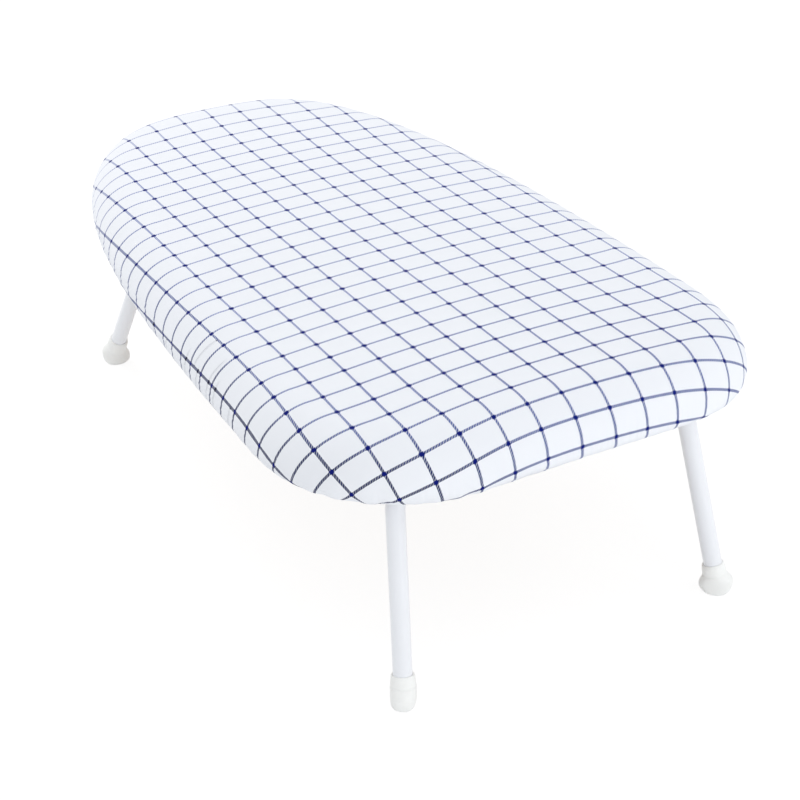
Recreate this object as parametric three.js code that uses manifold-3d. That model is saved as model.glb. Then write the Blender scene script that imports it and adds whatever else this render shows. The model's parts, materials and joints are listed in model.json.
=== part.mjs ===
// Tabletop ironing board: a tapered panel under a thick foam pad and a fitted cotton cover,
// standing on two bent-tube leg frames that fold flat under the board.
// Millimetres, +Z up, +X towards the wide end. The origin lies on the table under the board's middle.
import * as THREE from 'three';
import { mergeVertices } from 'three/addons/utils/BufferGeometryUtils.js';
import Module from 'manifold-3d';

const wasm = await Module();
wasm.setup();

// Outline of the dressed board, seen from above
const BOARD_LENGTH = 610;
const BOARD_WIDTH = 354;
const WIDEST_X = 183.5; // from the middle of the board towards the wide end
const END_HANDLE = 78; // Bezier handles: how long each stretch keeps its direction
const CORNER_HANDLE = 131;
const SIDE_HANDLE = 487;
const NOSE_HANDLE = 87;

// Section of the dressed rim
const BOARD_HEIGHT = 192; // table to the top of the crown
const CROWN = 5.4; // how much the top falls from its middle to the sides
const ROLL_WIDTH = 38; // upper roll, from the top out to the widest line
const ROLL_DROP = 28.6; // at the sides; the ends start from the crown's full height
const UNDER_WIDTH = 16; // lower roll, from the widest line in to the underside
const UNDER_DROP = 9.8;

// Cotton cover and its elastic hem
const COVER_THICKNESS = 1;
const HEM_LAP = 12.5; // flat lap of the cover under the board
const HEM_BAND = 8.8; // width of the tunnel that holds the elastic
const ELASTIC_WIDTH = 5.4;
const ELASTIC_THICKNESS = 1.2;

// Board panel
const PANEL_THICKNESS = 12;
const PANEL_CHAMFER = 1;
const SKIRT_FOOT = 2.5; // foam between the panel's edge and the end of the lower roll

// Leg frames
const TUBE_DIAMETER = 12.7;
const TUBE_WALL = 1;
const BEND_RADIUS = 18;
const LEG_INSET = 68.7; // from the board's side to the corner of a frame's two tube lines
const LEG_SPLAY = 5.9; // degrees between a leg and a square corner, in the frame's plane
const WIDE_TILT = 14; // degrees that each open frame leans out from the vertical
const NOSE_TILT = 30.5;
const NOSE_PIVOT_INSET = 152.8; // from the nose to the pivot of the nose frame
const FOLD_DROOP = 3; // degrees that a folded frame hangs below the level

// Rubber feet
const FOOT_WALL = 2.1;
const FOOT_KNEE = 8; // height over the table where the foot turns from upright to the tube's lean
const FOOT_REACH = 14.5; // from the knee to the collar's lip, along the tube
const SOCKET_DEPTH = 9;
const FOOT_LONG = 12.2; // half axes of the oval base
const FOOT_SHORT = 8.6;
const WIDE_FOOT_TURN = 45; // degrees from the board's length to the long axis
const NOSE_FOOT_TURN = 72;

// Pivot saddles
const SADDLE_WIDTH = 20; // along the tube
const SADDLE_WALL = 2.4;
const SADDLE_FLANGE = 6.6;
const FLANGE_THICKNESS = 2.5;
const SADDLE_INSET = 45.7; // from the frame's corner to the middle of the saddle
const SADDLE_HEM_GAP = 1.6;

// Open stops welded on the tubes
const TAB_WIDTH = 36;
const TAB_REACH = 15; // from the tube's axis
const TAB_THICKNESS = 2.5;

// Clips that hold the folded legs
const CLIP_LENGTH = 16; // along the leg
const CLIP_ARM = 2;
const CLIP_LIP = 3; // how far the arms pass the tube's middle
const CLIP_FLANGE = 8.6;
const CLIP_CLEARANCE = 0.6;

// Pan head screws
const SCREW_DIAMETER = 3.5;
const SCREW_HEAD = 6;
const SCREW_HEAD_HEIGHT = 2.2;
const SCREW_GRIP = 8; // length inside the panel

// Clearances
const FIT_GAP = 0.3;
const PIVOT_CLEARANCE = 0.35;
const PANEL_CLEARANCE = 0.4; // between a pivot tube and the panel

// Steps of the curves
const END_STEPS = 8;
const SIDE_STEPS = 12;
const ROLL_STEPS = 5;
const UNDER_STEPS = 3;
const BEND_STEPS = 6;
const TUBE_SIDES = 16;
const FOOT_SIDES = 20;
const SCREW_SIDES = 10;

// Heights and radii that follow from the sizes above
const flatHalf = BOARD_WIDTH / 2 - ROLL_WIDTH;
const widestZ = BOARD_HEIGHT - CROWN - ROLL_DROP;
const underZ = widestZ - UNDER_DROP;
const panelBottom = underZ + COVER_THICKNESS + FIT_GAP;
const panelTop = panelBottom + PANEL_THICKNESS;
const panelInset = UNDER_WIDTH + SKIRT_FOOT;
const hemTurn = UNDER_WIDTH + HEM_LAP;
const tubeRadius = TUBE_DIAMETER / 2;
const pivotDrop = tubeRadius + PANEL_CLEARANCE;
const pivotZ = panelBottom - pivotDrop;
const frameCorner = BOARD_WIDTH / 2 - LEG_INSET;
const splay = THREE.MathUtils.degToRad(LEG_SPLAY);
const saddleInner = tubeRadius + PIVOT_CLEARANCE;
const saddleOuter = saddleInner + SADDLE_WALL;
const saddleHalf = saddleOuter + SADDLE_FLANGE;
const saddleY = frameCorner - SADDLE_INSET;
const screwRadius = SCREW_DIAMETER / 2;

// Finishes
const finish = (color, roughness, metalness = 0) =>
  new THREE.MeshStandardMaterial({ color, roughness, metalness });
const COTTON = finish(0xeef1f8, 0.92);
const FOAM = finish(0xf1eddf, 0.95);
const ELASTIC = finish(0xf3f3ef, 0.85);
const FIBREBOARD = finish(0xa88258, 0.8);
const WHITE_PAINT = finish(0xf1f3f9, 0.35);
const RUBBER = finish(0xeff0ec, 0.6);
const WHITE_PLASTIC = finish(0xe8e9e6, 0.5);
const STEEL = finish(0xb9bdc2, 0.35, 1);

const board = new THREE.Group();

function addPart(name, geometry, material, parent = board) {
  const mesh = new THREE.Mesh(geometry, material);
  mesh.name = name;
  parent.add(mesh);
  return mesh;
}

// Closed bodies from rings of points

function signedVolume(position, index) {
  const corners = [new THREE.Vector3(), new THREE.Vector3(), new THREE.Vector3()];
  let total = 0;
  for (let k = 0; k < index.length; k += 3) {
    corners.forEach((corner, c) => corner.fromBufferAttribute(position, index[k + c]));
    total += corners[0].dot(corners[1].cross(corners[2])) / 6;
  }
  return total;
}

// Rings with equal counts are joined by quads; a ring of equal points closes the body as a pole.
function bodyFromRings(rings, loop = false) {
  const count = rings[0].length;
  const last = loop ? rings.length : rings.length - 1;
  const index = [];
  for (let k = 0; k < last; k += 1) {
    const next = ((k + 1) % rings.length) * count;
    for (let i = 0; i < count; i += 1) {
      const j = (i + 1) % count;
      index.push(k * count + i, next + i, k * count + j);
      index.push(k * count + j, next + i, next + j);
    }
  }
  const geometry = new THREE.BufferGeometry().setFromPoints(rings.flat());
  geometry.setIndex(index);
  const merged = mergeVertices(geometry, 1e-4);
  const old = merged.index.array;
  const kept = [];
  for (let k = 0; k < old.length; k += 3) {
    const [a, b, c] = [old[k], old[k + 1], old[k + 2]];
    if (a !== b && b !== c && c !== a) kept.push(a, b, c);
  }
  if (signedVolume(merged.attributes.position, kept) < 0) kept.reverse();
  merged.setIndex(kept);
  return merged;
}

// Booleans on closed bodies

function toSolid(geometry) {
  const bare = geometry.clone();
  bare.deleteAttribute('normal');
  bare.deleteAttribute('uv');
  const merged = mergeVertices(bare, 1e-4);
  return new wasm.Manifold(new wasm.Mesh({
    numProp: 3,
    vertProperties: Float32Array.from(merged.attributes.position.array),
    triVerts: Uint32Array.from(merged.index.array),
  }));
}

function fromSolid(solid) {
  const mesh = solid.getMesh();
  const geometry = new THREE.BufferGeometry();
  geometry.setAttribute('position', new THREE.BufferAttribute(mesh.vertProperties, 3));
  geometry.setIndex(new THREE.BufferAttribute(mesh.triVerts, 1));
  return geometry;
}

function drilled(geometry, holes) {
  let solid = toSolid(geometry);
  for (const hole of holes) solid = solid.subtract(toSolid(hole));
  return fromSolid(solid);
}

// An upright cylinder that drills a screw hole through everything between two heights
function screwHole(x, y, low, high) {
  const hole = new THREE.CylinderGeometry(screwRadius + FIT_GAP, screwRadius + FIT_GAP, high - low, SCREW_SIDES);
  hole.rotateX(Math.PI / 2);
  hole.translate(x, y, (low + high) / 2);
  return hole;
}

// Board outline: two Bezier curves for one half, mirrored

const halfWidth = BOARD_WIDTH / 2;
const halfLength = BOARD_LENGTH / 2;
const endCurve = new THREE.CubicBezierCurve(
  new THREE.Vector2(halfLength, 0),
  new THREE.Vector2(halfLength, END_HANDLE),
  new THREE.Vector2(WIDEST_X + CORNER_HANDLE, halfWidth),
  new THREE.Vector2(WIDEST_X, halfWidth),
);
const sideCurve = new THREE.CubicBezierCurve(
  new THREE.Vector2(WIDEST_X, halfWidth),
  new THREE.Vector2(WIDEST_X - SIDE_HANDLE, halfWidth),
  new THREE.Vector2(-halfLength, NOSE_HANDLE),
  new THREE.Vector2(-halfLength, 0),
);

function outlineSample(curve, t) {
  const point = curve.getPoint(t);
  const tangent = curve.getTangent(t);
  return { point, normal: new THREE.Vector2(tangent.y, -tangent.x) };
}

const rightHalf = [];
for (let k = 0; k < END_STEPS; k += 1) rightHalf.push(outlineSample(endCurve, k / END_STEPS));
for (let k = 0; k <= SIDE_STEPS; k += 1) rightHalf.push(outlineSample(sideCurve, k / SIDE_STEPS));
const leftHalf = rightHalf.slice(1, -1).reverse().map(({ point, normal }) => ({
  point: new THREE.Vector2(point.x, -point.y),
  normal: new THREE.Vector2(normal.x, -normal.y),
}));
const outline = [...rightHalf, ...leftHalf];

// Rise of the crowned top over its sides, at a distance from the centre line
const crownRise = (y) => CROWN * Math.max(0, 1 - (y / flatHalf) ** 2);

// The outline moved out by a distance (in, where negative), at a height plus a share of the crown's rise
const outlineRing = ([out, z, share = 0]) => outline.map(({ point, normal }) => new THREE.Vector3(
  point.x + normal.x * out,
  point.y + normal.y * out,
  z + share * crownRise(point.y - normal.y * ROLL_WIDTH),
));

// Place where the inset outline of the wide end crosses a given distance from the centre line
function wideEndX(inset, y) {
  let low = 0;
  let high = 1;
  for (let step = 0; step < 40; step += 1) {
    const middle = (low + high) / 2;
    const { point, normal } = outlineSample(endCurve, middle);
    if (point.y - normal.y * inset < y) low = middle;
    else high = middle;
  }
  const { point, normal } = outlineSample(endCurve, low);
  return point.x - normal.x * inset;
}

// Rings that close a face over the board, from the end of a section in to a spine along the centre line
function capRings([out, z, crown = 0]) {
  const spineOf = ({ x }) => THREE.MathUtils.clamp(x, flatHalf - halfLength, halfLength - flatHalf);
  const ring = outlineRing([out, z, crown]);
  const inner = (share) => ring.map((p) => {
    const y = THREE.MathUtils.lerp(p.y, 0, share);
    return new THREE.Vector3(THREE.MathUtils.lerp(p.x, spineOf(p), share), y, z + crown * crownRise(y));
  });
  return [inner(1), inner(0.66), inner(0.33)];
}

// A body over the whole board whose section runs from the upper face round the rim to the lower face
function boardBody(section) {
  const upper = capRings(section[0]);
  const lower = capRings(section[section.length - 1]).reverse();
  return bodyFromRings([...upper, ...section.map(outlineRing), ...lower]);
}

// Section of the dressed rim, moved in by a depth: upper roll, then lower roll
function rimSection(depth) {
  const section = [];
  for (let k = 0; k <= ROLL_STEPS; k += 1) {
    const a = (k / ROLL_STEPS) * Math.PI / 2;
    const n = new THREE.Vector2(ROLL_DROP * Math.sin(a), ROLL_WIDTH * Math.cos(a)).normalize();
    const out = ROLL_WIDTH * (Math.sin(a) - 1);
    section.push([out - n.x * depth, widestZ + ROLL_DROP * Math.cos(a) - n.y * depth, Math.cos(a)]);
  }
  for (let k = 1; k <= UNDER_STEPS; k += 1) {
    const a = (k / UNDER_STEPS) * Math.PI / 2;
    const n = new THREE.Vector2(UNDER_DROP * Math.cos(a), -UNDER_WIDTH * Math.sin(a)).normalize();
    const out = UNDER_WIDTH * (Math.cos(a) - 1);
    section.push([out - n.x * depth, widestZ - UNDER_DROP * Math.sin(a) - n.y * depth]);
  }
  return section;
}

// Cotton cover: a fitted skin whose edge turns up and back to make the elastic's tunnel

const tunnelHeight = ELASTIC_THICKNESS + 2 * FIT_GAP;
const hemTop = underZ + COVER_THICKNESS;
const hemBottom = underZ - tunnelHeight - COVER_THICKNESS;
const hemMiddle = (hemTop + hemBottom) / 2;
const foldRadius = (hemTop - hemBottom) / 2;
const tunnelRadius = tunnelHeight / 2;
const foldOut = foldRadius - hemTurn;
const tunnelEnd = HEM_BAND - hemTurn;

function coverSection() {
  const outerFace = rimSection(0);
  const innerFace = rimSection(COVER_THICKNESS).reverse();
  const hemOuter = [
    [tunnelEnd, hemBottom],
    [foldOut, hemBottom],
    [foldOut - foldRadius, hemMiddle],
    [foldOut, hemTop],
    [tunnelEnd - COVER_THICKNESS, hemTop],
  ];
  const hemInner = [
    [tunnelEnd - COVER_THICKNESS, underZ],
    [foldOut, underZ],
    [foldOut - tunnelRadius, hemMiddle],
    [foldOut, underZ - tunnelHeight],
    [tunnelEnd, underZ - tunnelHeight],
  ];
  return [...outerFace, ...hemOuter, ...hemInner, ...innerFace];
}

addPart('cotton_cover', boardBody(coverSection()), COTTON);

// Elastic band inside the hem's tunnel

const elasticIn = foldOut - FIT_GAP;
const elasticSection = [
  [elasticIn, hemMiddle + ELASTIC_THICKNESS / 2],
  [elasticIn + ELASTIC_WIDTH, hemMiddle + ELASTIC_THICKNESS / 2],
  [elasticIn + ELASTIC_WIDTH, hemMiddle - ELASTIC_THICKNESS / 2],
  [elasticIn, hemMiddle - ELASTIC_THICKNESS / 2],
];
addPart('hem_elastic', bodyFromRings(elasticSection.map(outlineRing), true), ELASTIC);

// Foam pad: crowned on top, rolled round the panel's edge, with a pocket for the panel

const pocketOut = FIT_GAP - panelInset;
const padRim = rimSection(COVER_THICKNESS + FIT_GAP);
const skirtZ = padRim[padRim.length - 1][1];
const padSection = [...padRim, [pocketOut, skirtZ], [pocketOut, panelTop + FIT_GAP]];
addPart('foam_pad', boardBody(padSection), FOAM);

// Leg frames: one tube bent to a U in a plane that turns about its top bar

// Centre line of the tube in the frame's plane: across, and down from the pivot
function legPath(legLength) {
  const turn = Math.PI / 2 - splay;
  const tangentLength = BEND_RADIUS * Math.tan(turn / 2);
  const barEnd = frameCorner - tangentLength;
  const stations = [];
  for (let k = 0; k <= BEND_STEPS; k += 1) {
    const a = (k / BEND_STEPS) * turn;
    stations.push({
      across: barEnd + BEND_RADIUS * Math.sin(a),
      down: BEND_RADIUS * (1 - Math.cos(a)),
      heading: a,
    });
  }
  stations.push({
    across: frameCorner + legLength * Math.sin(splay),
    down: legLength * Math.cos(splay),
    heading: turn,
  });
  return stations;
}

// Frames are drawn with their plane upright, the pivot on the Y axis and the legs down
function tubeRing({ across, down, heading }, side, radius) {
  const centre = new THREE.Vector3(0, side * across, -down);
  const sideways = new THREE.Vector3(1, 0, 0);
  const outwards = new THREE.Vector3(0, side * Math.sin(heading), Math.cos(heading));
  const ring = [];
  for (let k = 0; k < TUBE_SIDES; k += 1) {
    const a = ((k + 0.5) / TUBE_SIDES) * 2 * Math.PI;
    ring.push(centre.clone().addScaledVector(sideways, radius * Math.cos(a))
      .addScaledVector(outwards, radius * Math.sin(a)));
  }
  return ring;
}

function legTube(legLength) {
  const path = legPath(legLength);
  const rings = (radius) => [
    ...path.toReversed().map((station) => tubeRing(station, -1, radius)),
    ...path.map((station) => tubeRing(station, 1, radius)),
  ];
  return bodyFromRings([...rings(tubeRadius), ...rings(tubeRadius - TUBE_WALL).reverse()], true);
}

// Rubber foot: a level oval base that turns at its knee into a round collar on the leaning tube.
// It is drawn in world directions about the middle of its sole.
function footBody(axis, longAxis) {
  const up = new THREE.Vector3(0, 0, 1);
  const knee = new THREE.Vector3(0, 0, FOOT_KNEE);
  const collarRadius = tubeRadius + FOOT_WALL;
  const socketRadius = tubeRadius + FIT_GAP;
  const socketFloor = FOOT_REACH - SOCKET_DEPTH;
  const ring = (centre, lean, long, short) => {
    const normal = up.clone().lerp(axis, lean).normalize();
    const first = longAxis.clone().addScaledVector(normal, -longAxis.dot(normal)).normalize();
    const second = normal.clone().cross(first);
    const points = [];
    for (let k = 0; k < FOOT_SIDES; k += 1) {
      const a = (k / FOOT_SIDES) * 2 * Math.PI;
      points.push(centre.clone().addScaledVector(first, long * Math.cos(a))
        .addScaledVector(second, short * Math.sin(a)));
    }
    return points;
  };
  const base = (height, inset) =>
    ring(new THREE.Vector3(0, 0, height), 0, FOOT_LONG - inset, FOOT_SHORT - inset * FOOT_SHORT / FOOT_LONG);
  const round = (along, radius) => ring(knee.clone().addScaledVector(axis, along), 1, radius, radius);
  const soleInset = 3;
  const edgeInset = 1;
  const edgeRise = 1.6;
  const lipRound = 0.6;
  const shoulder = (FOOT_LONG + collarRadius) / 2;
  return bodyFromRings([
    ring(new THREE.Vector3(), 0, 0, 0),
    base(0, soleInset),
    base(edgeRise, edgeInset),
    base(FOOT_KNEE / 2, 0),
    ring(knee.clone().addScaledVector(axis, edgeRise), 0.5, shoulder, FOOT_SHORT),
    round(socketFloor, collarRadius + FIT_GAP),
    round(socketFloor + edgeRise, collarRadius),
    round(FOOT_REACH - lipRound, collarRadius),
    round(FOOT_REACH, collarRadius - lipRound),
    round(FOOT_REACH, socketRadius),
    round(socketFloor, socketRadius),
    round(socketFloor, 0),
  ]);
}

// Stop tab: a steel bar along the tube whose tip meets the panel when the frame is open
function stopTab(outDirection) {
  const root = tubeRadius + FIT_GAP;
  const half = TAB_THICKNESS / 2;
  const contact = pivotDrop - FIT_GAP;
  const angle = Math.asin(contact / Math.hypot(TAB_REACH, half)) - Math.atan2(half, TAB_REACH);
  const tab = new THREE.BoxGeometry(TAB_REACH - root, TAB_WIDTH, TAB_THICKNESS);
  tab.translate((TAB_REACH + root) / 2, 0, 0);
  tab.rotateY(-angle);
  if (outDirection < 0) tab.rotateZ(Math.PI);
  return tab;
}

// Pivot saddle: an arch round the tube with a screwed flange on either side
function saddleBody(x, y) {
  const flangeTop = pivotDrop - FIT_GAP;
  const flangeLow = flangeTop - FLANGE_THICKNESS;
  const section = new THREE.Shape();
  section.moveTo(-saddleHalf, flangeTop);
  section.lineTo(-saddleHalf, flangeLow);
  section.lineTo(-saddleOuter, flangeLow);
  section.lineTo(-saddleOuter, 0);
  section.absarc(0, 0, saddleOuter, Math.PI, 2 * Math.PI, false);
  section.lineTo(saddleOuter, flangeLow);
  section.lineTo(saddleHalf, flangeLow);
  section.lineTo(saddleHalf, flangeTop);
  section.lineTo(saddleInner, flangeTop);
  section.lineTo(saddleInner, 0);
  section.absarc(0, 0, saddleInner, 2 * Math.PI, Math.PI, true);
  section.lineTo(-saddleInner, flangeTop);
  const body = new THREE.ExtrudeGeometry(section, { depth: SADDLE_WIDTH, bevelEnabled: false, curveSegments: 8 });
  body.rotateX(Math.PI / 2);
  body.translate(x, y + SADDLE_WIDTH / 2, pivotZ);
  return body;
}

// Leg clip: two arms on a screwed plate, with a round seat for the folded tube
function clipBody(axisDrop) {
  const seat = tubeRadius + CLIP_CLEARANCE;
  const armOut = seat + CLIP_ARM;
  const plate = armOut + CLIP_FLANGE;
  const plateLow = -FIT_GAP - FLANGE_THICKNESS;
  const lip = -axisDrop - CLIP_LIP;
  const section = new THREE.Shape();
  section.moveTo(-plate, -FIT_GAP);
  section.lineTo(-plate, plateLow);
  section.lineTo(-armOut, plateLow);
  section.lineTo(-armOut, lip);
  section.lineTo(-seat, lip);
  section.lineTo(-seat, -axisDrop);
  section.absarc(0, -axisDrop, seat, Math.PI, 0, true);
  section.lineTo(seat, lip);
  section.lineTo(armOut, lip);
  section.lineTo(armOut, plateLow);
  section.lineTo(plate, plateLow);
  section.lineTo(plate, -FIT_GAP);
  const body = new THREE.ExtrudeGeometry(section, { depth: CLIP_LENGTH, bevelEnabled: false, curveSegments: 10 });
  body.translate(0, 0, -CLIP_LENGTH / 2);
  body.rotateX(Math.PI / 2);
  return body;
}

// Pan head wood screw, driven upwards, with its head's flat at the origin
function screwBody(throughLength) {
  const head = SCREW_HEAD / 2;
  const tip = throughLength + SCREW_GRIP;
  const profile = [
    [0, -SCREW_HEAD_HEIGHT],
    [head * 0.6, -SCREW_HEAD_HEIGHT],
    [head, -SCREW_HEAD_HEIGHT * 0.45],
    [head, 0],
    [screwRadius, 0],
    [screwRadius, tip - SCREW_DIAMETER],
    [0, tip],
  ].map(([radius, height]) => new THREE.Vector2(radius, height));
  const body = new THREE.LatheGeometry(profile, SCREW_SIDES);
  body.rotateX(Math.PI / 2);
  return fromSolid(toSolid(body));
}

const panelHoles = [];
const flangeGrip = FLANGE_THICKNESS + 2 * FIT_GAP;
const screwSeatZ = panelBottom - FLANGE_THICKNESS - 2 * FIT_GAP;

// Screw through a flange of standard thickness into the panel; returns the hole that clears it
function addScrew(name, x, y) {
  const screw = addPart(name, screwBody(flangeGrip), STEEL);
  screw.position.set(x, y, screwSeatZ);
  const hole = screwHole(x, y, screwSeatZ - FIT_GAP, panelBottom + SCREW_GRIP + FIT_GAP);
  panelHoles.push(hole);
  return hole;
}

// One folding frame with its feet, stop tab, saddles and clip; direction is +1 at the wide end
function addLegFrame(label, direction, pivotX, tiltDegrees, footTurnDegrees) {
  const tilt = THREE.MathUtils.degToRad(tiltDegrees);
  const footTurn = THREE.MathUtils.degToRad(footTurnDegrees);
  const kneeLength = (pivotZ - FOOT_KNEE) / Math.cos(tilt) / Math.cos(splay);
  const tubeLength = kneeLength - (FOOT_REACH - SOCKET_DEPTH) - FIT_GAP;
  const frame = new THREE.Group();
  frame.position.set(pivotX, 0, pivotZ);
  frame.rotation.y = -direction * tilt;
  board.add(frame);
  addPart(`${label}_leg_tube`, legTube(tubeLength), WHITE_PAINT, frame);

  const tab = addPart(`${label}_stop_tab`, stopTab(direction), WHITE_PAINT);
  tab.position.set(pivotX, 0, pivotZ);

  const clipDown = (BEND_RADIUS + kneeLength * Math.cos(splay) - FOOT_REACH) / 2;
  for (const [sideName, side] of [['left', -1], ['right', 1]]) {
    const legDown = new THREE.Vector3(
      direction * Math.sin(tilt) * Math.cos(splay),
      side * Math.sin(splay),
      -Math.cos(tilt) * Math.cos(splay),
    );
    const knee = new THREE.Vector3(pivotX, side * frameCorner, pivotZ).addScaledVector(legDown, kneeLength);
    const longAxis = new THREE.Vector3(direction * Math.cos(footTurn), side * Math.sin(footTurn), 0);
    const foot = addPart(`${label}_${sideName}_foot`, footBody(legDown.clone().negate(), longAxis), RUBBER);
    foot.position.set(knee.x, knee.y, 0);

    const saddle = `${label}_${sideName}_saddle`;
    const screwX = saddleOuter + SADDLE_FLANGE / 2;
    const holes = [['nose', -1], ['wide', 1]].map(([end, way]) =>
      addScrew(`${saddle}_screw_${end}`, pivotX + way * screwX, side * saddleY));
    addPart(saddle, drilled(saddleBody(pivotX, side * saddleY), holes), WHITE_PLASTIC);
  }

  const droop = THREE.MathUtils.degToRad(FOLD_DROOP);
  const clipX = pivotX - direction * clipDown * Math.cos(droop);
  const clipY = -(frameCorner + clipDown * Math.tan(splay));
  const clipTurn = -direction * splay;
  const body = clipBody(pivotDrop + clipDown * Math.sin(droop));
  body.rotateZ(Math.PI / 2 - clipTurn);
  body.translate(clipX, clipY, panelBottom);
  const screwOut = tubeRadius + CLIP_CLEARANCE + CLIP_ARM + CLIP_FLANGE / 2;
  const holes = [['inner', 1], ['outer', -1]].map(([place, way]) => addScrew(
    `${label}_leg_clip_screw_${place}`,
    clipX + way * screwOut * Math.sin(clipTurn),
    clipY + way * screwOut * Math.cos(clipTurn),
  ));
  addPart(`${label}_leg_clip`, drilled(body, holes), WHITE_PLASTIC);
}

// The wide frame sits as near the end as its saddles and its stop tab can come to the hem
const saddleReach = saddleY + SADDLE_WIDTH / 2;
const hemLimits = [
  [saddleReach, saddleHalf],
  [saddleReach - SADDLE_WIDTH, saddleHalf],
  [TAB_WIDTH / 2, TAB_REACH],
  [0, TAB_REACH],
].map(([y, reach]) => wideEndX(hemTurn, y) - SADDLE_HEM_GAP - reach);
const widePivotX = Math.min(...hemLimits);
addLegFrame('wide', 1, widePivotX, WIDE_TILT, WIDE_FOOT_TURN);
addLegFrame('nose', -1, NOSE_PIVOT_INSET - halfLength, NOSE_TILT, NOSE_FOOT_TURN);

// Board panel, with chamfered edges and a blind hole for every screw

const panelSection = [
  [-panelInset - PANEL_CHAMFER, panelTop],
  [-panelInset, panelTop - PANEL_CHAMFER],
  [-panelInset, panelBottom + PANEL_CHAMFER],
  [-panelInset - PANEL_CHAMFER, panelBottom],
];
addPart('board_panel', drilled(boardBody(panelSection), panelHoles), FIBREBOARD);

export default board;
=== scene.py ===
# %% [markdown]
# # Dressing a tabletop ironing board
#
# The CAD model gives each piece its place and says how the two leg frames fold.
# This lesson puts the real surfaces on it: a checked cotton cover drawn over a foam pad by an
# elastic hem, glossy white tube legs, rubber feet, and the plain hardware underneath.
# Each step says what the piece is on the real board before it makes it.

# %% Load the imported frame
import json
import math
from functools import partial, reduce

import bmesh
import bpy
import numpy as np
from mathutils import Matrix, Vector

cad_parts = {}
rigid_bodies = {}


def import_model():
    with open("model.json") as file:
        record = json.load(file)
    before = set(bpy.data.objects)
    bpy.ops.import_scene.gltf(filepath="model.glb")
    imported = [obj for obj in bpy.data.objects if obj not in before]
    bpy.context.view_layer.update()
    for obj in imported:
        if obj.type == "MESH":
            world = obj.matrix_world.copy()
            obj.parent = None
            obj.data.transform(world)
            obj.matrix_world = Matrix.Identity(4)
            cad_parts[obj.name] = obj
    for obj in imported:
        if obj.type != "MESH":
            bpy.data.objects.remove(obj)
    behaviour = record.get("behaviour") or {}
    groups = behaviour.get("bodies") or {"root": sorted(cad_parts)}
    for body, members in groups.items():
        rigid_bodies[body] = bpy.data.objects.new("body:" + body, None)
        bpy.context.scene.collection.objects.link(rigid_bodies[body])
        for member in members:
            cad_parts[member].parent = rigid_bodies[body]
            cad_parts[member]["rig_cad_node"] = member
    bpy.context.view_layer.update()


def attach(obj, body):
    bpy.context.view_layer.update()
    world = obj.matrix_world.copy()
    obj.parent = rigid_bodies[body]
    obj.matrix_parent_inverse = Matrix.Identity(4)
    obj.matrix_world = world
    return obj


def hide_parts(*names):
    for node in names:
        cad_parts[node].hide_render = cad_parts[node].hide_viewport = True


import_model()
scene = bpy.context.scene
MM = 0.001
FULL_TURN = 2 * math.pi


def mm(*values):
    """Millimetres in metres."""
    return [value * MM for value in values]


def link_object(name, data):
    made = bpy.data.objects.new(name, data)
    scene.collection.objects.link(made)
    return made


# %% [markdown]
# ## The camera
#
# The board is seen from the wide end's left, from about 30 degrees above the table.
# A camera could be aimed by hand, but the woven check is a ready-made ruler: its crossings fix
# the lens, the place and the small roll of the camera, so these numbers are used as they are.

# %% Camera
CAMERA_PLACE = (1.0594, -0.5215, 0.7334)
CAMERA_TURN = (59.561, 1.224, 61.956)  # degrees about X, Y and Z
CAMERA_LENS, CAMERA_SENSOR = 78.84, 36
CAMERA_SHIFT = (0.0079, 0.0006)

camera_data = bpy.data.cameras.new("camera")
camera_data.sensor_width = CAMERA_SENSOR
camera_data.lens = CAMERA_LENS
camera_data.shift_x, camera_data.shift_y = CAMERA_SHIFT
camera = link_object("camera", camera_data)
camera.location = CAMERA_PLACE
camera.rotation_euler = [math.radians(angle) for angle in CAMERA_TURN]
scene.camera = camera
print("camera", round(Vector(CAMERA_PLACE).length, 3), "m from the origin")

# %% [markdown]
# ## Materials from nodes
#
# Every finish below is a small tree of shader nodes around one Principled shader.
# Writing trees by hand is wordy, so a few helpers do it: one starts a material, one adds a node,
# and the others add the nodes that are used most. A socket knows its own tree, so a helper that is
# given a socket needs nothing else. A constant goes straight onto the shader's own socket.

# %% Helpers for shader nodes
def start_material(name, colour, roughness, **values):
    made = bpy.data.materials.new(name)
    made.use_nodes = True
    shader = made.node_tree.nodes["Principled BSDF"]
    shader.inputs["Base Color"].default_value = (*colour, 1)
    shader.inputs["Roughness"].default_value = roughness
    for label, value in values.items():
        shader.inputs[label.replace("_", " ").title().replace("Ior", "IOR")].default_value = value
    return made, shader


def set_socket(socket, value):
    """Link a socket to another one, or give it a constant."""
    if isinstance(value, bpy.types.NodeSocket):
        socket.id_data.links.new(value, socket)
    else:
        socket.default_value = value


def add_node(tree, kind, sockets=None, **settings):
    node = tree.nodes.new(kind)
    for label, value in settings.items():
        setattr(node, label, value)
    for label, value in (sockets or {}).items():
        set_socket(node.inputs[label], value)
    return node


# %% Helpers for sums
def math_node(operation, *values, clamp=False):
    tree = next(value.id_data for value in values if isinstance(value, bpy.types.NodeSocket))
    sockets = dict(enumerate(values))
    return add_node(tree, "ShaderNodeMath", sockets, operation=operation, use_clamp=clamp).outputs[0]


# scaled gives a value times a factor, plus an offset
plus, minus, times, larger, scaled = (
    partial(math_node, kind) for kind in ("ADD", "SUBTRACT", "MULTIPLY", "MAXIMUM", "MULTIPLY_ADD"))
sine, cosine, size_of, fraction = (
    partial(math_node, kind) for kind in ("SINE", "COSINE", "ABSOLUTE", "FRACT"))


def map_range(value, start, stop, low=0.0, high=1.0, **settings):
    """Carry a value from one range to another, and hold it at the ends."""
    sockets = {0: value, 1: start, 2: stop, 3: low, 4: high}
    return add_node(value.id_data, "ShaderNodeMapRange", sockets, **settings).outputs[0]


def ramp(value, start, stop):
    """0 before the start, 1 after the stop, and smooth between them."""
    return map_range(value, start, stop, interpolation_type="SMOOTHSTEP")


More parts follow.
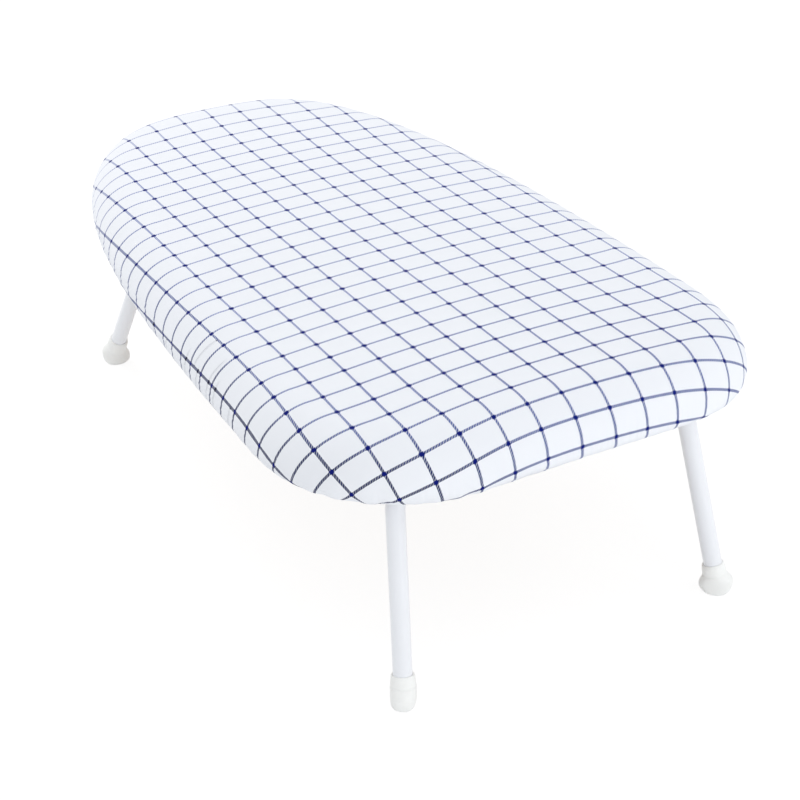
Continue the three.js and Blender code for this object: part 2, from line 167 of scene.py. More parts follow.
# %% Helpers for colour and surface
def mix_colour(share, first, second):
    sockets = {0: share, 6: first, 7: second}
    return add_node(share.id_data, "ShaderNodeMix", sockets, data_type="RGBA").outputs[2]


def object_place(shader):
    return add_node(shader.id_data, "ShaderNodeTexCoord").outputs["Object"]


def noise_at(place, scale, detail=3.0, roughness=0.5):
    sockets = {"Vector": place, "Scale": scale, "Detail": detail, "Roughness": roughness}
    return add_node(place.id_data, "ShaderNodeTexNoise", sockets).outputs["Fac"]


def stretched_noise(place, scales, detail, roughness):
    """Noise with its own scale along each axis."""
    sockets = {"Vector": place, "Scale": scales}
    spread = add_node(place.id_data, "ShaderNodeMapping", sockets).outputs["Vector"]
    return noise_at(spread, 1.0, detail, roughness)


def cells_at(place, scale):
    sockets = {"Vector": place, "Scale": scale}
    return add_node(place.id_data, "ShaderNodeTexVoronoi", sockets).outputs["Distance"]


def add_bump(shader, height, distance, strength, over=None):
    sockets = {"Height": height, "Distance": distance, "Strength": strength}
    if over is not None:
        sockets["Normal"] = over
    bump = add_node(shader.id_data, "ShaderNodeBump", sockets).outputs["Normal"]
    set_socket(shader.inputs["Normal"], bump)
    return bump


# %% [markdown]
# ## Light, floor and background
#
# The board stands on a plain white table in soft, nearly shadowless studio light: wide banks at the
# right, before the wide end and behind the nose, a low one that reaches the legs under the board,
# and a bright room all round.
# The white background isn't made with more light: camera rays simply see the floor and the room
# as white, and the floor keeps a faint shadow. From below the floor is clear, so that the underside
# can be looked at.

# %% Room
WHITE = (1, 1, 1, 1)
ROOM_LIGHT, ROOM_COLOUR = 0.803, (0.97, 0.985, 1.0, 1)

world = bpy.data.worlds.new("room")
world.use_nodes = True
scene.world = world
room = world.node_tree


def seen_directly(tree):
    """1 for rays that show a thing to the camera, 0 for rays that only carry its light."""
    path = add_node(tree, "ShaderNodeLightPath").outputs
    seen = larger(path["Is Camera Ray"], path["Is Glossy Ray"])
    return larger(seen, path["Is Transmission Ray"])


seen_room, background = seen_directly(room), room.nodes["Background"]
set_socket(background.inputs["Color"], mix_colour(seen_room, ROOM_COLOUR, WHITE))
set_socket(background.inputs["Strength"], map_range(seen_room, 0.0, 1.0, ROOM_LIGHT, 1.0))
scene.view_settings.view_transform = "Standard"
print("room light", ROOM_LIGHT)

# %% Floor
FLOOR_REACH, FLOOR_Z = 6.0, -0.3 * MM
FLOOR_GLOW, FLOOR_SHADE = 0.86, (0.22, 0.22, 0.22, 1)

floor_mesh = bpy.data.meshes.new("floor")
floor_corners = [(x * FLOOR_REACH, y * FLOOR_REACH, FLOOR_Z)
                 for x, y in ((-1, -1), (1, -1), (1, 1), (-1, 1))]
floor_mesh.from_pydata(floor_corners, [], [(0, 1, 2, 3)])
floor = link_object("floor", floor_mesh)


def mix_shaders(share, first, second):
    sockets = {0: share, 1: first.outputs[0], 2: second.outputs[0]}
    return add_node(share.id_data, "ShaderNodeMixShader", sockets)


floor_white, shader = start_material("floor_white", (0.94, 0.945, 0.95), 0.9)
tree = floor_white.node_tree
glow = add_node(tree, "ShaderNodeEmission", {"Color": WHITE, "Strength": FLOOR_GLOW})
shade = add_node(tree, "ShaderNodeBsdfDiffuse", {"Color": FLOOR_SHADE})
seen_floor = add_node(tree, "ShaderNodeAddShader", {0: glow.outputs[0], 1: shade.outputs[0]})
from_above = mix_shaders(seen_directly(tree), shader, seen_floor)
from_below = add_node(tree, "ShaderNodeNewGeometry").outputs["Backfacing"]
clear = add_node(tree, "ShaderNodeBsdfTransparent")
floor_face = mix_shaders(from_below, from_above, clear)
set_socket(tree.nodes["Material Output"].inputs["Surface"], floor_face.outputs[0])
floor_mesh.materials.append(floor_white)
print("floor", 2 * FLOOR_REACH, "m wide")

# %% Lamps
LAMP_AIM = Vector((0, 0, 0.1))
LAMPS = {  # place, width in metres, power in watts, colour
    "right_bank": ((1.0, 1.5, 1.5), 1.2, 4.5, (0.98, 0.99, 1.0)),
    "end_bank": ((1.8, 0.3, 0.8), 1.2, 2.2, (1.0, 1.0, 1.0)),
    "low_bank": ((1.8, 0.25, 0.25), 0.45, 2.3, (1.0, 1.0, 1.0)),
    "back_bank": ((-1.4, -0.5, 1.3), 1.2, 9.3, (1.0, 0.98, 0.965)),
}
for name, (lamp_place, width, power, colour) in LAMPS.items():
    bank = bpy.data.lights.new(name, "AREA")
    bank.shape = "DISK"
    bank.size, bank.energy, bank.color = width, power, colour
    lamp = link_object(name, bank)
    lamp.location = lamp_place
    lamp.rotation_euler = (LAMP_AIM - Vector(lamp_place)).to_track_quat("-Z", "Y").to_euler()
print("lamps:", len(LAMPS))

# %% [markdown]
# ## The outline that everything follows
#
# Cover, pad, hem and stitches all run round the same tapered outline: a nearly straight wide end
# with round corners, gently bowed sides, and a broad round nose.
# Two Bezier curves draw one half. The points are spaced evenly along the edge, so that a mesh
# made from them has even faces all the way round.

# %% Outline of the dressed board
HALF_LENGTH, HALF_WIDTH, WIDEST_X = mm(305, 177, 183.5)
END_HANDLE, CORNER_HANDLE, SIDE_HANDLE, NOSE_HANDLE = mm(78, 131, 487, 87)
CURVE_POINTS, EDGE_POINTS = 1500, 720


def bezier(points):
    a, b, c, d = (np.array(p)[None, :] for p in points)
    t = np.linspace(0, 1, CURVE_POINTS)[:, None]
    place = a * (1 - t) ** 3 + 3 * b * t * (1 - t) ** 2 + 3 * c * t * t * (1 - t) + d * t ** 3
    slope = 3 * ((b - a) * (1 - t) ** 2 + 2 * (c - b) * t * (1 - t) + (d - c) * t * t)
    return place, slope


def run_along(path):
    return np.r_[0, np.cumsum(np.linalg.norm(np.diff(path, axis=0), axis=1))]


def values_at(wanted, run, values):
    return np.c_[np.interp(wanted, run, values[:, 0]), np.interp(wanted, run, values[:, 1])]


def outline(count):
    """Even points round the board from the middle of the wide end, and their outward normals."""
    wide, wide_slope = bezier([(HALF_LENGTH, 0), (HALF_LENGTH, END_HANDLE),
                               (WIDEST_X + CORNER_HANDLE, HALF_WIDTH), (WIDEST_X, HALF_WIDTH)])
    side, side_slope = bezier([(WIDEST_X, HALF_WIDTH), (WIDEST_X - SIDE_HANDLE, HALF_WIDTH),
                               (-HALF_LENGTH, NOSE_HANDLE), (-HALF_LENGTH, 0)])
    place = np.vstack([wide, side[1:]])
    slope = np.vstack([wide_slope, side_slope[1:]])
    mirror = np.array([1, -1])
    place = np.vstack([place, place[-2::-1] * mirror])
    slope = np.vstack([slope, -slope[-2::-1] * mirror])
    run = run_along(place)
    even = np.arange(count) / count * run[-1]
    place, slope = values_at(even, run, place), values_at(even, run, slope)
    slope /= np.linalg.norm(slope, axis=1)[:, None]
    return place, np.c_[slope[:, 1], -slope[:, 0]]


edge, edge_normal = outline(EDGE_POINTS)
edge_length = np.linalg.norm(np.roll(edge, -1, 0) - edge, axis=1).sum()
print("outline", round(edge_length, 3), "m round")

# %% [markdown]
# ## The section of the rim
#
# Cut through the edge, the cover runs from the top over a wide soft roll, under a tighter one, in
# along the panel, and round a fold into the tunnel that holds the elastic. Lengths along this
# section are called runs.
# The top is crowned across its width: the pad is highest along the middle, so the roll starts
# higher at the two ends than at the sides. The section is drawn once for the sides, and each of
# its points says how much of that extra height it takes.

# %% Section from the top to the raw edge of the hem
TOP_Z, CROWN = mm(192, 5.4)
ROLL_WIDTH, ROLL_DROP = mm(38, 28.6)
UNDER_WIDTH, UNDER_DROP = mm(16, 9.8)
HEM_TURN, HEM_BAND, HEM_LAP = mm(28.5, 8.8, 1)
HEM_TOP_STEP, HEM_BOTTOM_STEP = mm(1.0, -2.8)
ROLL_STEPS, LAP_STEPS, FOLD_STEPS = 119, 29, 23
FLAT_Z = TOP_Z - CROWN
WIDEST_Z = FLAT_Z - ROLL_DROP
UNDER_Z = WIDEST_Z - UNDER_DROP
HEM_Z = UNDER_Z + (HEM_TOP_STEP + HEM_BOTTOM_STEP) / 2
HEM_OUT = HEM_BAND - HEM_TURN
FLAT_HALF = HALF_WIDTH - ROLL_WIDTH
FOLD_RADIUS = (HEM_TOP_STEP - HEM_BOTTOM_STEP) / 2
FOLD_OUT = FOLD_RADIUS - HEM_TURN


def smooth(share):
    return share * share * (3 - 2 * share)


def share_between(value, start, stop):
    return np.clip((value - start) / (stop - start), 0, 1)


def rim_section():
    quarter = np.linspace(0, np.pi / 2, ROLL_STEPS + 1)
    roll = np.c_[ROLL_WIDTH * (np.sin(quarter) - 1), WIDEST_Z + ROLL_DROP * np.cos(quarter)]
    under = np.c_[UNDER_WIDTH * (np.cos(quarter) - 1), WIDEST_Z - UNDER_DROP * np.sin(quarter)][1:]
    share = np.linspace(0, 1, LAP_STEPS + 1)[1:]
    lap = np.c_[-UNDER_WIDTH + (HEM_OUT + UNDER_WIDTH) * share, UNDER_Z + HEM_BOTTOM_STEP * smooth(share)]
    band = np.array([[FOLD_OUT, UNDER_Z + HEM_BOTTOM_STEP]])
    turn = np.linspace(0, np.pi, FOLD_STEPS + 1)[1:]
    fold = np.c_[FOLD_OUT - FOLD_RADIUS * np.sin(turn), HEM_Z - FOLD_RADIUS * np.cos(turn)]
    back = np.array([[HEM_OUT - HEM_LAP, UNDER_Z + HEM_TOP_STEP]])
    return np.vstack([roll, under, lap, band, fold, back])


section = rim_section()
section_run = run_along(section)
RUN_WIDEST, RUN_UNDER, RUN_HEM, RUN_END = (
    float(section_run[k]) for k in (ROLL_STEPS, 2 * ROLL_STEPS, 2 * ROLL_STEPS + LAP_STEPS, -1))
print("cloth from the top's edge: widest at", round(RUN_WIDEST, 4), "under at", round(RUN_UNDER, 4),
      "hem at", round(RUN_HEM, 4), "raw edge at", round(RUN_END, 4))

# %% Rings round the board
NORMAL_STEP = 0.2 * MM


def section_at(run):
    """How far out and how high the section is, this far along it."""
    return values_at(run, section_run, section)[0]


def section_normal(run):
    along = section_at(run + NORMAL_STEP) - section_at(run - NORMAL_STEP)
    along = along / max(np.linalg.norm(along), 1e-9)
    return -along[1], along[0]


def crown_rise(y):
    """Height of the crowned top over its sides, at a distance from the centre line."""
    return CROWN * np.maximum(0, 1 - (y / FLAT_HALF) ** 2)


def crown_share(run):
    """How much of the crown's rise a place on the section takes: none from the widest line down."""
    return max(0.0, (section_at(run)[1] - WIDEST_Z) / ROLL_DROP)


def board_lines(count):
    """The edge, its normals, the inner edge of the roll, and the middle line of the top."""
    place, normal = outline(count)
    inner = place - normal * ROLL_WIDTH
    spine_end = HALF_LENGTH - FLAT_HALF
    spine = np.c_[np.clip(inner[:, 0], -spine_end, spine_end), np.zeros(count)]
    return place, normal, inner, spine


def at_level(flat, z):
    return np.c_[flat, np.full(len(flat), z)]


def crowned(flat):
    return np.c_[flat, FLAT_Z + crown_rise(flat[:, 1])]


def rim_ring(run, place, normal, rise, depth=0.0):
    """A ring this far down the section, or a depth under it."""
    out, z = section_at(run)
    face_out, face_up = section_normal(run)
    return np.c_[place + normal * (out - face_out * depth), z - face_up * depth + crown_share(run) * rise]


print("crown", round(float(crown_rise(0) / MM), 1), "mm high,", round(FLAT_HALF / MM, 1), "mm to each side")

# %% [markdown]
# ## Helpers for meshes
#
# Most pieces here are rings of points joined by quads, like a loft in CAD. One helper joins the
# rings and makes a smoothly shaded object.

# %% Helpers for lofts
def make_piece(name, points, faces, material):
    mesh = bpy.data.meshes.new(name)
    mesh.from_pydata([tuple(p) for p in points], [], faces)
    mesh.materials.append(material)
    mesh.shade_smooth()
    return link_object(name, mesh)


def loft_piece(name, rings, material, loop=False):
    """Rings joined by quads; with loop, the last ring is joined to the first."""
    count, around = len(rings), len(rings[0])
    faces = []
    for k in range(count if loop else count - 1):
        here, there = k * around, (k + 1) % count * around
        for i in range(around):
            j = (i + 1) % around
            faces.append((here + i, there + i, there + j, here + j))
    return make_piece(name, np.vstack(rings), faces, material)


# %% Helpers for finished meshes
MERGE_DISTANCE, THIN_EDGE = 1e-6, 1e-7


def clean_mesh(piece):
    work = bmesh.new()
    work.from_mesh(piece.data)
    bmesh.ops.remove_doubles(work, verts=work.verts, dist=MERGE_DISTANCE)
    bmesh.ops.dissolve_degenerate(work, edges=work.edges, dist=THIN_EDGE)
    bmesh.ops.recalc_face_normals(work, faces=work.faces)
    work.to_mesh(piece.data)
    work.free()
    piece.data.update()


def plain_mesh(piece):
    """Turn a piece with modifiers into a piece with a plain mesh of the same name."""
    name = piece.name
    shown = piece.evaluated_get(bpy.context.evaluated_depsgraph_get())
    mesh = bpy.data.meshes.new_from_object(shown)
    bpy.data.objects.remove(piece)
    mesh.name = name
    return link_object(name, mesh)


def dress(piece, body, slot, *nodes):
    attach(piece, body)
    if nodes:
        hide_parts(*nodes)


def triangle_count(piece):
    return sum(len(face.vertices) - 2 for face in piece.data.polygons)


# %% [markdown]
# ## The checked cotton
#
# The cover is plain white cotton with a traditional windowpane check. Where a dyed thread crosses
# white ones the line looks heathered, half navy and half white; where two dyed lines cross, the
# square is solid navy.
# An image could carry that, but threads follow the cloth, so the pattern is drawn from a UV map
# that holds metres of cloth: it bends over the rim with the fabric and stays sharp close up.

# %% Cotton with a windowpane check
CHECK_ALONG, CHECK_ACROSS = mm(19.594, 25.16)
LINE, LINE_SOFT, KNOT = mm(1.6, 0.12, 3.2)
SLUB_DEPTH = 0.2 * MM
WEAVE, TWILL, TWILL_LEAN = 0.42 * MM, 2.1 * MM, 1.1
WHITE_COTTON = (0.89, 0.91, 0.96)

cotton, shader = start_material("checked_cotton", WHITE_COTTON, 0.92,
                                specular_ior_level=0.1, sheen_weight=0.04)


def uv_metres(label):
    """A UV map of the cotton, and its two parts."""
    place = add_node(shader.id_data, "ShaderNodeUVMap", uv_map=label).outputs["UV"]
    parts = add_node(shader.id_data, "ShaderNodeSeparateXYZ", {"Vector": place}).outputs
    return place, parts["X"], parts["Y"]


def wave_of(value, pitch):
    return sine(times(value, FULL_TURN / pitch))


threads, cloth_x, cloth_y = uv_metres("threads")
slub = stretched_noise(threads, (520, 520, 1), 2.0, 0.6)


def from_line(place, pitch):
    """Distance from the nearest dyed line, roughened by the yarn."""
    offset = size_of(minus(fraction(scaled(place, 1 / pitch, 0.5)), 0.5))
    return scaled(offset, pitch, scaled(slub, 2 * SLUB_DEPTH, -SLUB_DEPTH))


def band(distance, width):
    """1 inside a band of this width, 0 outside, with a soft edge."""
    return ramp(distance, width / 2 + LINE_SOFT, width / 2 - LINE_SOFT)


def twill_floats():
    """Slanted floats of dyed yarn between white ones: most where the dyed yarn lies on top."""
    slant = scaled(cloth_y, TWILL_LEAN, cloth_x)
    uneven = stretched_noise(threads, (700, 700, 1), 2.0, 0.6)
    height = scaled(uneven, 1.2, minus(wave_of(slant, TWILL), 0.6))
    return map_range(height, -0.8, 0.8, 0.28, 1.4)


to_cross, to_length = from_line(cloth_x, CHECK_ALONG), from_line(cloth_y, CHECK_ACROSS)
print("check", CHECK_ALONG, "by", CHECK_ACROSS, "m")

# %% [markdown]
# ## Creases near the hem
#
# On the left side a few sharp creases run down over the rim to the hem, and fine puckers fill the
# lower edge all round. They are too narrow for the mesh, so they are a bump in the same material.
# The creases also carry painted shade: grey in their grooves, and near-black navy where they cross
# a dyed line.
# A second UV map, in metres round the edge and metres down the rim, says where they lie.

# %% Creases and puckers
# Place along the board, and where a crease starts and ends down the rim, in millimetres
CREASES = [(86, 33, 60), (105, 36, 60), (124, 20, 62), (135, 32, 60), (100, 15, 38), (161, 38, 60),
           (49, 42, 58), (20, 42, 58)]
CREASE_FLOOR, CREASE_SIDE = mm(0.2, 1.5)
CREASE_STARTS_IN, CREASE_ENDS_IN = 8, 6  # millimetres
# Width round a dyed line of the painted shade where a crease crosses it
PAINTED_CREASE_LINE = 2.8 * MM
PUCKER_SCALE, PUCKER_STRETCH = 300.0, 0.12

_, round_edge, down_rim = uv_metres("hem")


def edge_circle():
    """The place round the edge as a point on a circle, so that the noise closes up."""
    turn = times(round_edge, FULL_TURN / edge_length)
    radius = edge_length / FULL_TURN
    sockets = {"X": times(cosine(turn), radius), "Y": times(sine(turn), radius),
               "Z": times(down_rim, PUCKER_STRETCH)}
    return add_node(shader.id_data, "ShaderNodeCombineXYZ", sockets).outputs[0]


def one_crease(x, top, low):
    nearest = left_half[np.argmin(np.abs(edge[left_half, 0] - x * MM))]
    away = size_of(minus(round_edge, float(nearest / EDGE_POINTS * edge_length)))
    groove = minus(1.0, ramp(away, CREASE_FLOOR, CREASE_SIDE))
    begun = ramp(down_rim, top * MM, (top + CREASE_STARTS_IN) * MM)
    ended = ramp(down_rim, low * MM, (low + CREASE_ENDS_IN) * MM)
    return times(groove, minus(begun, ended))


left_half = np.where(edge[:, 1] < 0)[0]
crease = reduce(larger, [one_crease(*numbers) for numbers in CREASES])
puckers = times(noise_at(edge_circle(), PUCKER_SCALE, 2.0), ramp(down_rim, 38 * MM, 58 * MM))
folds = minus(puckers, crease)
# Painted shade: near-black where a crease crosses a dyed line
painted_crease_dark = times(ramp(crease, 0.1, 0.5), band(to_length, PAINTED_CREASE_LINE))
print(len(CREASES), "creases")

# %% [markdown]
# ## Colour of the cotton
#
# The dye has faded where the iron passes most, on the top towards the nose, and is still deep at
# the wide end. Round the rim the lines are painted deeper as shade. On the left rim the lines turn
# paler towards the nose, and darker towards the near corner, as painted shade. So the strength of
# the lines follows the two maps.

# %% Strength of the dye, and painted shade on the rim
near_end = times(ramp(cloth_x, 40 * MM, 270 * MM), 0.5)
on_rim = ramp(down_rim, 4 * MM, 44 * MM)
off_nose = scaled(ramp(cloth_x, -320 * MM, -80 * MM), 0.85, 0.15)
# Painted shade: the lines deepen down the rim, less towards the wide end and the nose
painted_rim_shade = times(times(on_rim, scaled(near_end, -0.6, 1.0)), off_nose)
# The larger of the dye kept at the wide end and the painted rim shade
kept_dye_and_rim_shade = larger(near_end, painted_rim_shade)
left_rim = times(on_rim, ramp(cloth_y, -20 * MM, -120 * MM))
# Painted shade on the left rim: its lines darken and turn deeper navy towards the near corner, and pale
# towards the nose
near_corner_shade = times(left_rim, ramp(cloth_x, -100 * MM, 120 * MM))
left_rim_shade_ramp = map_range(cloth_x, -320 * MM, 180 * MM, -0.62, 0.5)
nose_fade = scaled(ramp(cloth_x, -350 * MM, -210 * MM), 0.35, 0.65)
strength = times(scaled(kept_dye_and_rim_shade, 0.56, 0.71), nose_fade)
strength = times(strength, scaled(left_rim, left_rim_shade_ramp, 1.0))
# Lines swell and knots shrink with the kept dye and the painted rim shade
swell, tuck = times(kept_dye_and_rim_shade, 0.24 * MM), times(kept_dye_and_rim_shade, 0.36 * MM)
print("dye ready")

# %% Colour and weave of the cotton
FADED_BLUE, LINE_BLUE = (0.012, 0.065, 0.38, 1), (0.011, 0.036, 0.205, 1)
# The first is the deeper navy of painted shade at the left rim's near corner
CORNER_SHADE_BLUE, NAVY = (0.006, 0.014, 0.085, 1), (0.004, 0.010, 0.165, 1)
# Near-black of the painted crease shade on the dyed lines
PAINTED_CREASE_BLUE = (0.008, 0.009, 0.035, 1)
SHADED_WHITE, BRIGHT_WHITE = (0.88, 0.90, 0.945, 1), (0.91, 0.925, 0.965, 1)
# Painted shade in the creases: its grey, and how much of it the grooves take
PAINTED_CREASE_GREY, CREASE_SHADE = (0.60, 0.62, 0.66, 1), 0.35
FOLD_DEPTH, WEAVE_DEPTH = mm(0.9, 0.05)

heather = times(twill_floats(), strength, clamp=True)
lines = larger(*(times(band(minus(away, swell), LINE), heather) for away in (to_cross, to_length)))
knot = times(*(band(plus(away, tuck), KNOT) for away in (to_cross, to_length)))
# The dyed lines and knots, with the painted crease shade on them
dye_and_crease_shade = larger(larger(lines, knot), painted_crease_dark)
white = mix_colour(stretched_noise(threads, (60, 60, 1), 4.0, 0.6), SHADED_WHITE, BRIGHT_WHITE)
# Painted shade: the white greys along the creases
white = mix_colour(times(crease, CREASE_SHADE), white, PAINTED_CREASE_GREY)
# Paler blue where the dye has faded, line blue where it is kept and as painted shade round the rim, and
# deeper navy as painted shade at the left rim's near corner
blue = mix_colour(near_corner_shade, mix_colour(kept_dye_and_rim_shade, FADED_BLUE, LINE_BLUE), CORNER_SHADE_BLUE)
# Painted crease shade turns the lines near-black where the creases cross them
yarn = mix_colour(painted_crease_dark, mix_colour(knot, blue, NAVY), PAINTED_CREASE_BLUE)
set_socket(shader.inputs["Base Color"], mix_colour(dye_and_crease_shade, white, yarn))
weave = scaled(wave_of(cloth_x, WEAVE), wave_of(cloth_y, WEAVE), times(slub, 1.5))
folded = add_bump(shader, folds, FOLD_DEPTH, 0.6)
add_bump(shader, weave, WEAVE_DEPTH, 0.35, folded)
print("cotton ready")

# %% [markdown]
# ## The cover
#
# The cover is one cut of cloth. On the top it lies flat over a low crown; outside that, each point
# lies as far round the rim as it is from the edge of the flat part in the cut.
# So the mesh is made of rings: a few across the top, and many round the rim, where the cloth
# turns and gathers. The same rings carry the UV map in metres of cloth.
# No cover is put on quite straight. Some places are pulled out of square, which only shows in the
# check, and at a few the soft rim sags, which also shows in the outline.

# %% Pulls and sags
COVER_AROUND, TOP_RINGS, RIM_STEP = 640, 14, 2.1 * MM
CLOTH_TURN = math.radians(1.017)
CHECK_START = (47.32 * MM, -7.2 * MM)
SAG_START, SAG_FULL = 6 * MM, 0.8 * RUN_WIDEST
# Where the cloth is pulled out of square: place in the cut and reach, then how far, along and across, in mm
PULLS = [(-295, -10, 70, 90, 11.5, -5.0), (-230, 100, 80, 60, -1.0, -6.5), (-10, 50, 130, 90, -2.0, 2.0),
         (265, -115, 60, 45, -4.0, 2.0), (320, -10, 55, 60, 3.0, -0.5), (235, 130, 60, 45, -2.0, -3.5),
         (20, -200, 75, 26, -16.0, -2.5), (255, -200, 55, 40, 3.5, 8.0), (135, -170, 80, 50, 0.5, -2.0),
         (150, 165, 80, 30, 4.5, -1.5), (320, -75, 40, 30, 0.0, -4.0), (320, 60, 40, 30, 0.0, 1.5)]
# Where the soft rim hangs lower: place, reach and depth in mm
SAGS = [(288, 128, 52, 4.2), (299, -92, 34, 2.6), (222, -172, 38, 2.2)]


def thread_metres(flat):
    """Metres along and across the threads from a crossing, for points of the flat cut."""
    x, y = flat[:, 0] - CHECK_START[0], flat[:, 1]
    along = x * math.cos(CLOTH_TURN) + y * math.sin(CLOTH_TURN)
    across = -x * math.sin(CLOTH_TURN) + y * math.cos(CLOTH_TURN)
    metres = np.c_[along, across - CHECK_START[1]]
    for at_x, at_y, reach_x, reach_y, pull_x, pull_y in PULLS:
        away = ((flat[:, 0] / MM - at_x) / reach_x) ** 2 + ((flat[:, 1] / MM - at_y) / reach_y) ** 2
        metres += np.exp(-away)[:, None] * np.array([[pull_x, pull_y]]) * MM
    return metres


def sag_depth(places):
    depth = np.zeros(len(places))
    for x, y, reach, low in SAGS:
        away = (places[:, 0] / MM - x) ** 2 + (places[:, 1] / MM - y) ** 2
        depth += low * MM * np.exp(-away / reach ** 2)
    return depth


def sagged(ring, run, depth):
    """A ring with its sags: none on the top, and none at the hem that the elastic holds."""
    lower, held = share_between(run, SAG_START, SAG_FULL), share_between(run, RUN_UNDER, RUN_HEM)
    share = float(smooth(lower) * (1 - smooth(held)))
    return ring - np.outer(share * depth, (0, 0, 1))


print(len(PULLS), "pulls,", len(SAGS), "sags")

# %% Rings of the cover
place, normal, inner, spine = board_lines(COVER_AROUND)
edge_rise, edge_sag = crown_rise(inner[:, 1]), sag_depth(place)
cloth_run = np.zeros(COVER_AROUND)
cover_rings, cover_threads = [], []
for share in np.linspace(0, 1, TOP_RINGS + 1)[:-1]:
    flat = spine + (inner - spine) * share
    cover_rings.append(crowned(flat))
    cover_threads.append(thread_metres(flat))
cloth_runs = [cloth_run] * TOP_RINGS
rim_runs = np.linspace(0, RUN_END, int(RUN_END / RIM_STEP) + 1)
ring_before = rim_ring(0, place, normal, edge_rise)
for run in rim_runs:
    ring = rim_ring(run, place, normal, edge_rise)
    cloth_run = cloth_run + np.linalg.norm(ring - ring_before, axis=1)
    ring_before = ring
    cover_rings.append(sagged(ring, run, edge_sag))
    cloth_runs.append(cloth_run)
    cover_threads.append(thread_metres(inner + normal * cloth_run[:, None]))
print("cover rings", len(cover_rings), "of", COVER_AROUND)

# %% [markdown]
# ## Gathering the hem
#
# The elastic is shorter than the cloth it holds, so the cover puckers lightly along its lower edge.
# Such creases can be painted with a bump, but they also break up the outline and the shading.
# Here the cloth gets real spare length near the hem as soft ruffles in its rest shape, and a short
# cloth simulation lets it settle over the pad with the top and the hem held.

# %% Ruffles of spare cloth
RUFFLE_DEPTH, RUFFLE_START = 1.5 * MM, 0.55 * RUN_WIDEST
RUFFLE_WAVES, FEWEST_CRESTS, MOST_CRESTS = 14, 70, 130
BAND_START, BAND_SHARE = RUN_HEM + 2 * MM, 0.45
ruffle_seed = np.random.default_rng(7)


def ruffle_wave():
    """A wave round the edge that comes back to where it began, with uneven crests."""
    wave = np.zeros(COVER_AROUND)
    for count in ruffle_seed.integers(FEWEST_CRESTS, MOST_CRESTS, RUFFLE_WAVES):
        phase = ruffle_seed.uniform(0, FULL_TURN)
        wave += np.sin(FULL_TURN * count * np.arange(COVER_AROUND) / COVER_AROUND + phase)
    return wave / np.abs(wave).max()


def bell(values, centre, reach):
    return np.exp(-(((values - centre) / reach) ** 2))


def fullness():
    """Spare cloth at each place round the edge: most on the curves, the left side and the wide end."""
    bend = np.linalg.norm(np.roll(normal, -1, 0) - np.roll(normal, 1, 0), axis=1)
    left_side = bell(place[:, 0], -120 * MM, 70 * MM) * (place[:, 1] < 0)
    wide_end = bell(place[:, 1], -40 * MM, 70 * MM) * (place[:, 0] > 280 * MM)
    return 0.30 + 0.35 * bend / bend.max() + 0.75 * left_side + 0.45 * wide_end


ruffle, spare = ruffle_wave(), fullness()


def ruffle_share(run):
    """How much of their depth the ruffles have, this far round the section."""
    return smooth(share_between(run, RUFFLE_START, RUN_HEM)) * (1.0 if run < BAND_START else BAND_SHARE)


def lifted(ring, run, height):
    """A ring of the cover's rim moved along its normals."""
    out, up = section_normal(run)
    return ring + height[:, None] * np.c_[normal * out, np.full(COVER_AROUND, up)]


rim_rings = [lifted(ring, run, ruffle * spare * RUFFLE_DEPTH * ruffle_share(run))
             for ring, run in zip(cover_rings[TOP_RINGS:], rim_runs)]
print("ruffles up to", round(float((ruffle * spare).max() * RUFFLE_DEPTH / MM), 2), "mm")


# %% Cover mesh
def make_cover():
    cover = loft_piece("cotton_sheet", cover_rings[:TOP_RINGS] + rim_rings, cotton)
    owner = np.empty(len(cover.data.loops), dtype=np.int32)
    cover.data.loops.foreach_get("vertex_index", owner)
    column = owner % COVER_AROUND
    round_run = column * (edge_length / COVER_AROUND)
    last_column = np.arange(len(cover.data.polygons)) % COVER_AROUND == COVER_AROUND - 1
    round_run += np.repeat(last_column, 4) * (column == 0) * edge_length
    maps = {"threads": np.vstack(cover_threads)[owner],
            "hem": np.c_[round_run, np.hstack(cloth_runs)[owner]]}
    for label, metres in maps.items():
        layer = cover.data.uv_layers.new(name=label)
        layer.data.foreach_set("uv", metres.astype(np.float32).ravel())
    return cover


cover = make_cover()
print("cover faces", len(cover.data.polygons))

# %% Settle the cloth
SETTLE_STEPS = 12
SETTLE_GAP, SKIN = mm(2.2, 1)
PAD_FRICTION = 8
CLOTH_SETTINGS = {"quality": 8, "mass": 0.0005, "tension_stiffness": 30, "compression_stiffness": 30,
                  "shear_stiffness": 10, "bending_stiffness": 0.05, "shrink_min": 0.004,
                  "vertex_group_mass": "held"}


def grip(run):
    """How firmly the cloth is held: fast on the top and in the hem band, free between them."""
    from_top = share_between(run, 0.3 * RUN_WIDEST, RUN_WIDEST)
    from_hem = share_between(run, RUN_HEM, RUN_UNDER)
    return 1.0 - float(min(from_top, from_hem))


